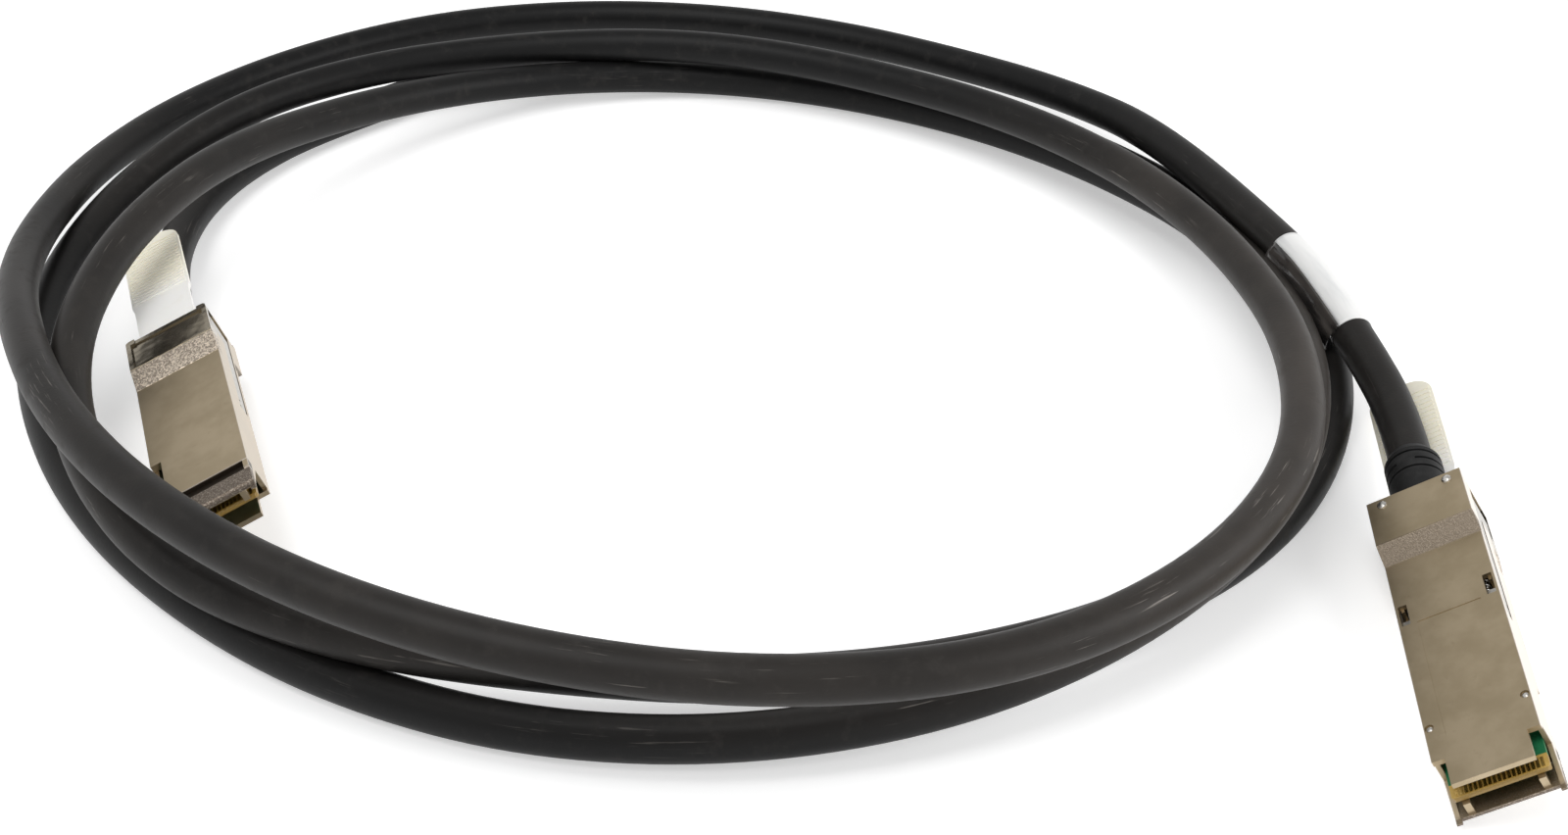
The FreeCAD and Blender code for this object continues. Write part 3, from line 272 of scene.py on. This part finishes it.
def paint(tree, shader, colour):
    """Gives the shader its colour."""
    tree.links.new(colour, shader.inputs["Base Color"])


def raised(tree, shader, height, deep, strength):
    """A bump whose height is a pattern, as many millimetres deep as it says."""
    inputs = {"Height": height, "Distance": deep * MM, "Strength": strength}
    bump = add(tree, "ShaderNodeBump", inputs)
    tree.links.new(bump.outputs["Normal"], shader.inputs["Normal"])


def satin_nickel(end, flank_highlight_share):
    """Nickel plate on a zinc casting: satin and a little yellowed on the flats, rough on the lip.
    Its colour also holds painted light: the sides are painted lighter where the light falls on
    them, more so on one plug; the ramp is painted light, with painted glints; the sunk field
    behind it is painted darker for the dark cable reflected in it; the cover's ramp and the
    groove behind the lip hold painted shade; and the rims of the groove and the lip a painted
    highlight."""
    material, tree, shader = finish_named(end + "_satin_nickel", roughness=0.4, metallic=1.0)
    place = plug_millimetres(tree, end)
    x, y, z = apart(tree, place)

    top = rising(tree, z, *UP["top"])
    ramp = product(tree, between(tree, x, *ALONG["ramp"], soft=0.12), top)
    lip = product(tree, rising(tree, x, *ALONG["lip"]), top)
    sunk = product(tree, rising(tree, x, *ALONG["sunk_field"]), top)
    cover_ramp = between(tree, x, *ALONG["cover_ramp"], soft=0.25)
    cover_ramp = product(tree, cover_ramp, rising(tree, z, *UP["cover"]))
    flank = rising(tree, arithmetic(tree, "ABSOLUTE", y), *FLANK)
    groove = between(tree, x, *ALONG["groove"], soft=0.04)
    groove = product(tree, groove, between(tree, z, *UP["groove"], soft=0.04))
    rear_rim = between(tree, x, *ALONG["groove_rim"], soft=0.04)
    rear_rim = product(tree, rear_rim, rising(tree, z, *UP["rim"]))
    front_rim = product(tree, between(tree, x, *ALONG["lip_rim"], soft=0.05), top)
    rim = largest(tree, rear_rim, front_rim)

    clouds = cloudy(tree, place, 0.11, 4.0, 0.55)
    speckle = cloudy(tree, place, 3.2, 3.0, 0.7)
    cells = add(tree, "ShaderNodeTexVoronoi", {"Vector": place, "Scale": 3.4})
    sparks = apart(tree, cells.outputs["Color"])[0]
    stain = rising(tree, cloudy(tree, place, 0.42, 5.0, 0.62), 0.6, 0.8)

    colour = blended(tree, rising(tree, clouds, 0.36, 0.66), *NICKEL["flat"])
    for share, finish in (
        (product(tree, stain, 0.3), NICKEL["stain"]),
        # Painted highlight down the flanks, as much as each plug's share.
        (product(tree, flank, flank_highlight_share), NICKEL["flank"]),
        # Painted light and painted glints on the ramp. The rough casting itself is in the bump.
        (ramp, blended(tree, rising(tree, sparks, 0.15, 0.95), *NICKEL["ramp"])),
        (lip, blended(tree, rising(tree, speckle, 0.45, 0.66), *NICKEL["lip"])),
        # Painted reflection of the dark cable in the sunk field.
        (sunk, blended(tree, clouds, *NICKEL["sunk_field"])),
        # Painted shade on the cover's ramp, over a rough speckle.
        (cover_ramp, blended(tree, rising(tree, speckle, 0.4, 0.68), *NICKEL["cover_ramp"])),
        # Painted shade in the groove behind the lip.
        (groove, NICKEL["groove"]),
        # Painted highlight along the rims.
        (rim, NICKEL["rim"]),
    ):
        colour = blended(tree, share, colour, finish)
    paint(tree, shader, colour)

    as_cast = largest(tree, lip, cover_ramp)
    matt = product(tree, largest(tree, ramp, as_cast), 0.1)
    glossy = product(tree, sunk, 0.2)
    roughness = arithmetic(tree, "SUBTRACT", spread(tree, clouds, 0.34, 0.46), glossy)
    tree.links.new(arithmetic(tree, "ADD", roughness, matt), shader.inputs["Roughness"])

    relief = product(tree, cloudy(tree, place, 1.7, 3.0, 0.6), 0.03)
    coarse = product(tree, speckle, as_cast)
    waves = product(tree, cloudy(tree, place, 0.34, 1.0), product(tree, sunk, 1.3))
    relief = arithmetic(tree, "ADD", relief, coarse, waves, product(tree, sparks, ramp))
    raised(tree, shader, relief, deep=0.12, strength=0.8)
    return material


def bright_steel(name, colour, roughness, scale=1.2):
    """A plain bright metal, faintly clouded and marked."""
    material, tree, shader = finish_named(name, roughness, metallic=1.0)
    place = object_millimetres(tree)
    clouds = cloudy(tree, place, scale, 4.0, 0.6)
    darker = tuple(c * 0.72 for c in colour[:3]) + (1,)
    paint(tree, shader, blended(tree, rising(tree, clouds, 0.35, 0.7), darker, colour))
    gloss = spread(tree, clouds, roughness - 0.07, roughness + 0.09)
    tree.links.new(gloss, shader.inputs["Roughness"])
    raised(tree, shader, cloudy(tree, place, scale * 4, 2.0), deep=0.01, strength=0.5)
    return material


def card_laminate(end):
    """Green solder mask over fine tracks, and bare golden laminate by the card's edge."""
    material, tree, shader = finish_named(end + "_card_laminate", roughness=0.36)
    place = plug_millimetres(tree, end)
    x, y, z = apart(tree, place)
    clouds = cloudy(tree, place, 0.9)
    tracks = between(tree, arithmetic(tree, "WRAP", y, 0.8), 0.28, 0.52, soft=0.03)
    mask = blended(tree, clouds, (0.008, 0.105, 0.04, 1), (0.02, 0.2, 0.085, 1))
    mask = blended(tree, product(tree, tracks, 0.5), mask, (0.03, 0.26, 0.1, 1))
    bare = blended(tree, clouds, (0.42, 0.27, 0.055, 1), (0.58, 0.39, 0.11, 1))
    face = rising(tree, arithmetic(tree, "ABSOLUTE", z), *CARD_FACE)
    bare = blended(tree, face, (0.3, 0.19, 0.05, 1), bare)
    paint(tree, shader, blended(tree, rising(tree, x, *ALONG["bare_laminate"]), mask, bare))
    relief = arithmetic(tree, "ADD", tracks, cloudy(tree, place, 6.0))
    raised(tree, shader, relief, deep=0.02, strength=0.4)
    return material


def gold_plate():
    """Hard gold on the contacts, dulled in places by handling."""
    material, tree, shader = finish_named("contact_gold", roughness=0.3, metallic=1.0)
    wiped = cloudy(tree, object_millimetres(tree), 2.4)
    bright = rising(tree, wiped, 0.4, 0.65)
    paint(tree, shader, blended(tree, bright, (0.56, 0.36, 0.09, 1), (0.78, 0.55, 0.2, 1)))
    raised(tree, shader, wiped, deep=0.01, strength=0.4)
    return material


def moulded_plastic(name, colour, roughness, grain):
    """Matt dark plastic with a fine grain and a faint bloom."""
    material, tree, shader = finish_named(name, roughness, specular=0.24)
    place = object_millimetres(tree)
    bloom = rising(tree, cloudy(tree, place, 0.35, 4.0, 0.6), 0.42, 0.75)
    lighter = tuple(c * 1.7 + 0.004 for c in colour[:3]) + (1,)
    paint(tree, shader, blended(tree, bloom, colour, lighter))
    raised(tree, shader, cloudy(tree, place, grain, 2.0, 0.6), deep=0.03, strength=0.55)
    return material


def jacket_vinyl():
    """Black cable jacket with painted light: lighter and browner, in mottles, on the high strands
    at the near side and to the right, and dark on the low and far ones. It is dusty, and scuffed
    most where it is painted lighter.
    """
    material, tree, shader = finish_named("jacket_vinyl", roughness=0.5, specular=0.17)
    along = place_along(tree)
    distance = apart(tree, along)[0]
    place = object_millimetres(tree)
    x, y, z = apart(tree, place)

    # Painted light: the strands that lie high, at the near side and most to the right are made
    # lighter, as the light falls on them, and scuffs show most there too; the low and far ones stay
    # dark, as in shade.
    upper = product(tree, rising(tree, z, 5.0, 13.0), rising(tree, y, 170.0, 70.0))
    upper = product(tree, upper, rising(tree, distance, 90.0, 160.0))
    light_and_handling = product(tree, upper, spread(tree, rising(tree, x, 30.0, 100.0), 0.3, 0.64))
    blotches = spread(tree, cloudy(tree, place, 0.03, 5.0, 0.6), 0.35, 1.0, start=0.3, end=0.7)
    # The lead by the lying plug is made a little lighter too.
    near_plug = product(tree, rising(tree, distance, 150.0, 80.0), 0.16)
    light_and_wear = largest(tree, product(tree, blotches, light_and_handling), near_plug)
    # Painted light: the black body is made lighter and browner, in mottles, on the strands picked
    # out above.
    body = blended(tree, light_and_wear, (0.0058, 0.0058, 0.0059, 1), (0.07, 0.06, 0.052, 1))

    dust = rising(tree, cloudy(tree, place, 0.23, 5.0, 0.65), 0.5, 0.8)
    body = blended(tree, product(tree, dust, 0.22), body, (0.07, 0.064, 0.058, 1))

    scuffs = cloudy(tree, along, 1.0, 3.0, 0.6, stretch=(0.09, 1.9, 1.9))
    patches = cloudy(tree, along, 1.0, 2.0, 0.5, stretch=(0.03, 0.12, 0.12))
    shown = product(tree, rising(tree, patches, 0.49, 0.62), spread(tree, light_and_handling, 0.06, 0.8))
    marks = product(tree, rising(tree, scuffs, 0.6, 0.74), shown)
    paint(tree, shader, blended(tree, marks, body, (0.36, 0.33, 0.3, 1)))

    tree.links.new(spread(tree, dust, 0.46, 0.64), shader.inputs["Roughness"])
    grain = arithmetic(tree, "ADD", cloudy(tree, place, 1.6, 3.0, 0.6), product(tree, marks, 0.6))
    raised(tree, shader, grain, deep=0.05, strength=0.5)
    return material


def tab_ivory(end):
    """Ivory moulded tab, whiter by the plug, yellowed towards its tip."""
    material, tree, shader = finish_named(end + "_tab_ivory", roughness=0.45)
    place = plug_millimetres(tree, end)
    old = rising(tree, apart(tree, place)[0], *ALONG["tab_tip"])
    cream = blended(tree, old, (0.93, 0.92, 0.89, 1), (0.93, 0.89, 0.75, 1))
    grime = rising(tree, cloudy(tree, place, 0.3, 4.0, 0.6), 0.5, 0.8)
    paint(tree, shader, blended(tree, product(tree, grime, 0.16), cream, (0.7, 0.64, 0.5, 1)))
    shader.inputs["Subsurface Weight"].default_value = 0.08
    shader.inputs["Subsurface Radius"].default_value = (0.002, 0.0016, 0.001)
    raised(tree, shader, cloudy(tree, place, 2.2), deep=0.03, strength=0.4)
    return material


def label_paper():
    """White label stock, left bare, with faint wrinkles, and painted shade that greys them a
    little.
    """
    material, tree, shader = finish_named("label_paper", roughness=0.4)
    wrinkle = cloudy(tree, place_along(tree), 1.0, 3.0, 0.55, stretch=(0.05, 0.3, 0.3))
    # Painted shade: the paper is greyed along the wrinkles.
    wrinkle_shade = rising(tree, wrinkle, 0.4, 0.75)
    paint(tree, shader, blended(tree, wrinkle_shade, (0.78, 0.78, 0.77, 1), (0.62, 0.63, 0.63, 1)))
    raised(tree, shader, wrinkle, deep=0.2, strength=0.5)
    return material


def label_film():
    """The label's clear laminate, which shows as a dark gloss over the jacket."""
    material, tree, shader = finish_named("label_film", roughness=0.12)
    ripple = cloudy(tree, place_along(tree), 1.0, 2.0, 0.5, stretch=(0.07, 0.4, 0.4))
    shine = rising(tree, ripple, 0.35, 0.75)
    paint(tree, shader, blended(tree, shine, (0.012, 0.011, 0.0105, 1), (0.085, 0.075, 0.068, 1)))
    raised(tree, shader, ripple, deep=0.6, strength=0.7)
    shader.inputs["Coat Weight"].default_value = 0.6
    shader.inputs["Coat Roughness"].default_value = 0.06
    return material


def wear(node, material):
    """A CAD node wears one finish all over."""
    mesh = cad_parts[node].data
    mesh.materials.clear()
    mesh.materials.append(material)


# ---------------------------------------------------------------- the cable's route

def smooth_between(stations, place):
    """A smooth value at any place along a list of stations: a cubic from the station before it to
    the one after, with the slopes that their neighbours give."""
    whole = int(math.floor(place))
    part = place - whole
    last = len(stations) - 1
    before, here, after, beyond = (stations[min(max(whole + i, 0), last)] for i in (-1, 0, 1, 2))
    slope, next_slope, rise = (after - before) / 2, (beyond - here) / 2, after - here
    square = 3 * rise - 2 * slope - next_slope
    cube = slope + next_slope - 2 * rise
    return here + part * (slope + part * (square + part * cube))


def coil_points():
    """The spline's points round the coil. They lie a little outside it, as a spline runs inside its
    points."""
    radii = [radius for turn in TURNS for radius in turn["radius"]]
    heights = [height for turn in TURNS for height in turn["height"]]
    outside = 1 / math.cos(math.radians(STEP / 2))
    points = []
    for angle in range(STATION, (len(radii) - 1) * STATION + 1, STEP):
        reach = smooth_between(radii, angle / STATION) * outside
        height = max(smooth_between(heights, angle / STATION), CABLE_DIAMETER / 2 + FLOOR_GAP)
        x = COIL_CENTRE[0] + reach * math.cos(math.radians(angle))
        y = COIL_CENTRE[1] + reach * math.sin(math.radians(angle))
        points.append((x, y, height))
    return points


def cable_route():
    """The cable's middle line, from boot to boot: one smooth spline, and its points in metres."""
    route = [RIGHT_BOOT] + RIGHT_LEAD + coil_points() + LEFT_LEAD + [LEFT_BOOT]
    curve = bpy.data.curves.new("cable_route", "CURVE")
    curve.dimensions = "3D"
    spline = curve.splines.new("NURBS")
    spline.points.add(len(route) - 1)
    for point, (x, y, z) in zip(spline.points, route):
        point.co = (x * MM, y * MM, z * MM, 1)
    spline.order_u = 3
    spline.use_endpoint_u = True
    spline.resolution_u = ROUTE_STEPS
    holder = bpy.data.objects.new("cable_route", curve)
    bpy.context.scene.collection.objects.link(holder)
    line = bpy.data.meshes.new_from_object(holder)
    points = [vertex.co.copy() for vertex in line.vertices]
    bpy.data.objects.remove(holder)
    bpy.data.meshes.remove(line)
    return curve, points


# ---------------------------------------------------------------- what follows the route

def path_tree(name, sizes):
    """A geometry tree with its named inputs. Its route is level across, so that angles round it
    start from straight up."""
    tree = bpy.data.node_groups.new(name, "GeometryNodeTree")
    tree.is_modifier = True
    tree.interface.new_socket("Route", in_out="INPUT", socket_type="NodeSocketGeometry")
    for label in sizes:
        tree.interface.new_socket(label, in_out="INPUT", socket_type="NodeSocketFloat")
    tree.interface.new_socket("Finish", in_out="INPUT", socket_type="NodeSocketMaterial")
    tree.interface.new_socket("Piece", in_out="OUTPUT", socket_type="NodeSocketGeometry")
    given = tree.nodes.new("NodeGroupInput").outputs
    line = add(tree, "GeometryNodeResampleCurve", {"Curve": given["Route"]}, mode="EVALUATED")
    level = add(tree, "GeometryNodeSetCurveNormal", {"Curve": line.outputs["Curve"]}, mode="Z_UP")
    return tree, given, level.outputs["Curve"]


def remembered(tree, geometry, kind, measure):
    """A geometry that keeps a measure of its own through what is made of it."""
    node = tree.nodes.new("GeometryNodeCaptureAttribute")
    node.capture_items.new(kind, "Measure")
    tree.links.new(geometry, node.inputs["Geometry"])
    tree.links.new(measure, node.inputs["Measure"])
    return node.outputs["Geometry"], node.outputs["Measure"]


def scaled(tree, vector, factor):
    """A vector made longer by a factor."""
    inputs = {0: vector, "Scale": factor}
    return add(tree, "ShaderNodeVectorMath", inputs, operation="SCALE").outputs[0]


def swept(tree, route, profile, caps):
    """A profile swept along a route. It keeps its place on the cable, in millimetres, for the
    finishes: the distance along, across from the middle line, and up from it."""
    distance = add(tree, "GeometryNodeSplineParameter").outputs["Length"]
    centre = add(tree, "GeometryNodeInputPosition").outputs[0]
    normal = add(tree, "GeometryNodeInputNormal").outputs[0]
    route, distance = remembered(tree, route, "FLOAT", distance)
    route, centre = remembered(tree, route, "VECTOR", centre)
    route, normal = remembered(tree, route, "VECTOR", normal)
    sweep_inputs = {"Curve": route, "Profile Curve": profile, "Fill Caps": caps}
    sweep = add(tree, "GeometryNodeCurveToMesh", sweep_inputs)

    here = add(tree, "GeometryNodeInputPosition").outputs[0]
    out = add(tree, "ShaderNodeVectorMath", {0: here, 1: centre}, operation="SUBTRACT").outputs[0]
    dot = add(tree, "ShaderNodeVectorMath", {0: out, 1: normal}, operation="DOT_PRODUCT")
    place = {"X": distance, "Y": dot.outputs["Value"], "Z": apart(tree, out)[2]}
    place = scaled(tree, add(tree, "ShaderNodeCombineXYZ", place).outputs[0], 1 / MM)
    store = {"Geometry": sweep.outputs["Mesh"], "Name": "along", "Value": place}
    kept = add(tree, "GeometryNodeStoreNamedAttribute", store, data_type="FLOAT_VECTOR")
    away = add(tree, "ShaderNodeVectorMath", {0: out}, operation="NORMALIZE").outputs[0]
    return kept.outputs["Geometry"], distance, away


def ended(tree, given, mesh):
    """Every tree ends with a smooth, real mesh in its finish."""
    smooth = add(tree, "GeometryNodeSetShadeSmooth", {"Geometry": mesh}).outputs["Geometry"]
    real = add(tree, "GeometryNodeRealizeInstances", {"Geometry": smooth}).outputs["Geometry"]
    done = add(tree, "GeometryNodeSetMaterial", {"Geometry": real, "Material": given["Finish"]})
    add(tree, "NodeGroupOutput", {"Piece": done.outputs["Geometry"]})
    return tree


def jacket_tree():
    """A round jacket along the whole route."""
    tree, given, route = path_tree("round_jacket", ["Radius"])
    ring_inputs = {"Resolution": JACKET_SIDES, "Radius": given["Radius"]}
    ring = add(tree, "GeometryNodeCurvePrimitiveCircle", ring_inputs)
    return ended(tree, given, swept(tree, route, ring.outputs["Curve"], True)[0])


def film_tree():
    """A film wound round a stretch of the route. Its far edge can lift off the cable and wave."""
    sizes = ["Start", "Length", "Radius", "First angle", "Sweep", "Wall", "Lift", "Wave"]
    tree, given, route = path_tree("wound_film", sizes)

    trim = add(tree, "GeometryNodeTrimCurve", {"Curve": route}, mode="LENGTH")
    ends = [socket for socket in trim.inputs if socket.enabled and socket.type == "VALUE"]
    tree.links.new(given["Start"], ends[0])
    tree.links.new(arithmetic(tree, "ADD", given["Start"], given["Length"]), ends[1])
    stretch = {"Curve": trim.outputs["Curve"], "Count": FILM_RINGS}
    stretch = add(tree, "GeometryNodeResampleCurve", stretch).outputs["Curve"]

    arc = {
        "Resolution": FILM_SIDES,
        "Radius": given["Radius"],
        "Start Angle": arithmetic(tree, "SUBTRACT", given["First angle"], TURN / 4),
        "Sweep Angle": given["Sweep"],
    }
    arc = add(tree, "GeometryNodeCurveArc", arc).outputs["Curve"]
    share = add(tree, "GeometryNodeSplineParameter").outputs["Factor"]
    arc, share = remembered(tree, arc, "FLOAT", share)
    mesh, distance, away = swept(tree, stretch, arc, False)

    ripple = arithmetic(tree, "SINE", product(tree, distance, TURN / (WAVE_LENGTH * MM)))
    rise = arithmetic(tree, "ADD", given["Lift"], product(tree, ripple, given["Wave"]))
    rise = product(tree, rise, arithmetic(tree, "POWER", share, 1.6))
    shift = {"Geometry": mesh, "Offset": scaled(tree, away, rise)}
    lifted = add(tree, "GeometryNodeSetPosition", shift).outputs["Geometry"]

    # The inner face is the lifted sheet turned over. The outer face and the rim are extruded.
    thick = {"Mesh": lifted, "Offset": away, "Offset Scale": given["Wall"], "Individual": False}
    outer = add(tree, "GeometryNodeExtrudeMesh", thick, mode="FACES")
    inner = add(tree, "GeometryNodeFlipFaces", {"Mesh": lifted})
    both = add(tree, "GeometryNodeJoinGeometry", {0: inner.outputs["Mesh"]})
    tree.links.new(outer.outputs["Mesh"], both.inputs[0])
    merge = {"Geometry": both.outputs[0], "Distance": 1e-6}
    closed = add(tree, "GeometryNodeMergeByDistance", merge).outputs["Geometry"]
    return ended(tree, given, closed)


def plain_mesh(name, tree, curve, inputs):
    """What a node tree makes of the cable's route, as a plain mesh with its faces outwards."""
    source = bpy.data.objects.new(name, curve)
    modifier = source.modifiers.new(name, "NODES")
    modifier.node_group = tree
    for item in tree.interface.items_tree:
        if item.in_out == "INPUT" and item.name in inputs:
            modifier[item.identifier] = inputs[item.name]
    bpy.context.scene.collection.objects.link(source)
    graph = bpy.context.evaluated_depsgraph_get()
    mesh = bpy.data.meshes.new_from_object(source.evaluated_get(graph), depsgraph=graph)
    bpy.data.objects.remove(source)
    work = bmesh.new()
    work.from_mesh(mesh)
    bmesh.ops.recalc_face_normals(work, faces=work.faces)
    work.to_mesh(mesh)
    work.free()
    piece = bpy.data.objects.new(name, mesh)
    bpy.context.scene.collection.objects.link(piece)
    return piece


def wound(name, films, curve, finish, first, sweep, wall, off=-0.02, lift=0.0, wave=0.0):
    """A film of the label round the cable. Its first edge and its sweep are in degrees from
    straight up. Its wall, its place off the jacket and its far edge's lift are in millimetres."""
    inputs = {
        "Start": LABEL_START * MM,
        "Length": LABEL_LENGTH * MM,
        "Radius": (CABLE_DIAMETER / 2 + off) * MM,
        "First angle": math.radians(first),
        "Sweep": math.radians(sweep),
        "Wall": wall * MM,
        "Lift": lift * MM,
        "Wave": wave * MM,
        "Finish": finish,
    }
    return plain_mesh(name, films, curve, inputs)


# ---------------------------------------------------------------- the object

def dress_plugs():
    """Every piece of each plug in its own finish."""
    boot = moulded_plastic("boot_black", (0.009, 0.009, 0.009, 1), roughness=0.6, grain=2.4)
    steel = bright_steel("spring_steel", (0.6, 0.59, 0.57, 1), roughness=0.3)
    sheet = bright_steel("slide_steel", (0.52, 0.5, 0.46, 1), roughness=0.33)
    rivet = bright_steel("rivet_nickel", (0.72, 0.7, 0.66, 1), roughness=0.27)
    gold = gold_plate()
    foil = bright_steel("pair_foil", (0.66, 0.66, 0.67, 1), roughness=0.35, scale=2.2)
    brass = bright_steel("ferrule_brass", (0.6, 0.45, 0.22, 1), roughness=0.35)
    core = moulded_plastic("core_grey", (0.05, 0.05, 0.055, 1), roughness=0.6, grain=1.2)
    # Each plug's share of painted highlight on its flanks: more on the right plug, which is lit
    # more.
    for end, flank_highlight_share in (("right", 0.95), ("left", 0.4)):
        nickel = satin_nickel(end, flank_highlight_share)
        finishes = {
            "top_housing": nickel,
            "bottom_cover": nickel,
            "paddle_card": card_laminate(end),
            "contact_pads": gold,
            "wire_pairs": foil,
            "core_block": core,
            "crimp_ferrule": brass,
            "strain_relief": boot,
            "release_slide": sheet,
            "pull_tab": tab_ivory(end),
            "return_springs": steel,
            "rear_rivets": rivet,
            "front_rivets": rivet,
        }
        for piece, finish in finishes.items():
            wear("%s_%s" % (end, piece), finish)


def fit_springs(end):
    """A plug's two return springs, copied onto the assembly with a mesh of their own. On the real
    plug they shorten as its slide comes back.
    """
    node = end + "_return_springs"
    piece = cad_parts[node].copy()
    piece.data = piece.data.copy()
    piece.name = end + "_springs"
    bpy.context.scene.collection.objects.link(piece)
    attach(piece, "assembly")
    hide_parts(node)
    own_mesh(piece)
    return piece


def lay_cable(left_springs):
    """The one cable, and the label wound round it near the lying plug."""
    curve, points = cable_route()
    jacket_inputs = {"Radius": CABLE_DIAMETER / 2 * MM, "Finish": jacket_vinyl()}
    jacket = plain_mesh("cable_jacket", jacket_tree(), curve, jacket_inputs)
    films, paper, clear = film_tree(), label_paper(), label_film()
    band = wound("label_paper_band", films, curve, paper, first=-52, sweep=200, wall=0.22)
    laminate = wound("label_clear_wrap", films, curve, clear, first=148, sweep=160, wall=0.15)
    loose = {"off": 0.15, "lift": 1.9, "wave": 0.4}
    tail = wound("label_clear_tail", films, curve, clear, first=-54, sweep=-70, wall=0.15, **loose)
    finishes = {"cable_jacket": [jacket], "label_white": [band], "laminate": [laminate, tail]}
    for finish, pieces in finishes.items():
        for piece in pieces:
            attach(piece, "assembly")
    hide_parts("cable_coil", "right_lead", "left_lead", "cable_crossing")
    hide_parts("label_band")
    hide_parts("label_laminate")


# ---------------------------------------------------------------- stage, light and camera

def seen_directly(tree, amount):
    """An amount for rays from the eye, from gloss and through glass, and none for other light."""
    path = add(tree, "ShaderNodeLightPath").outputs
    seen = largest(tree, path["Is Camera Ray"], path["Is Glossy Ray"], path["Is Transmission Ray"])
    return product(tree, seen, amount)


def floor():
    """A plain white floor. To the eye and in bright metal it glows, so only the shadow shows."""
    mesh = bpy.data.meshes.new("floor")
    corners = ((-1, -1), (1, -1), (1, 1), (-1, 1))
    spots = [(x * FLOOR_REACH, y * FLOOR_REACH, 0) for x, y in corners]
    mesh.from_pydata(spots, [], [(0, 1, 2, 3)])
    plane = bpy.data.objects.new("floor", mesh)
    bpy.context.scene.collection.objects.link(plane)
    material, tree, shader = finish_named("floor_white", roughness=0.9, specular=0.0)
    shader.inputs["Base Color"].default_value = (0.8, 0.8, 0.8, 1)
    shader.inputs["Emission Color"].default_value = (1, 1, 1, 1)
    tree.links.new(seen_directly(tree, 0.42), shader.inputs["Emission Strength"])
    mesh.materials.append(material)


def studio_world():
    """White to the eye. It lights the object softly, more from the sides than from overhead."""
    world = bpy.data.worlds.new("studio")
    bpy.context.scene.world = world
    world.use_nodes = True
    tree = world.node_tree
    background = tree.nodes["Background"]
    height = apart(tree, add(tree, "ShaderNodeTexCoord").outputs["Generated"])[2]
    light = spread(tree, height, 0.95, 0.4, start=0.1, end=0.95)
    eye = add(tree, "ShaderNodeLightPath").outputs["Is Camera Ray"]
    background.inputs["Color"].default_value = (1, 1, 1, 1)
    tree.links.new(largest(tree, light, eye), background.inputs["Strength"])


def soft_box(name, spot, aim, size, energy):
    """A rectangular lamp. Its spot, aim and size are in metres, its energy in watts."""
    data = bpy.data.lights.new(name, "AREA")
    data.shape = "RECTANGLE"
    data.size, data.size_y = size
    data.energy = energy
    lamp = bpy.data.objects.new(name, data)
    lamp.location = spot
    lamp.rotation_euler = (Vector(aim) - Vector(spot)).to_track_quat("-Z", "Y").to_euler()
    bpy.context.scene.collection.objects.link(lamp)


def camera():
    """A quarter of a metre up, looking down over the two plugs to the coil."""
    data = bpy.data.cameras.new("camera")
    data.sensor_fit = "HORIZONTAL"
    data.sensor_width = 36.0
    data.lens = 47.81
    data.clip_start = 0.01
    body = bpy.data.objects.new("camera", data)
    body.location = (0.039, -0.3233, 0.25)
    body.rotation_euler = (math.radians(55), 0, math.radians(4.9))
    bpy.context.scene.collection.objects.link(body)
    bpy.context.scene.camera = body


dress_plugs()
fit_springs("right")
lay_cable(fit_springs("left"))
floor()
studio_world()
soft_box("overhead", spot=(-0.35, -0.25, 1.1), aim=(0.0, 0.05, 0.0), size=(0.9, 0.7), energy=7.0)
soft_box("right_side", spot=(1.0, -0.1, 0.55), aim=(0.05, 0.0, 0.0), size=(0.8, 0.6), energy=6.0)
camera()
bpy.context.scene.view_settings.view_transform = "Standard"
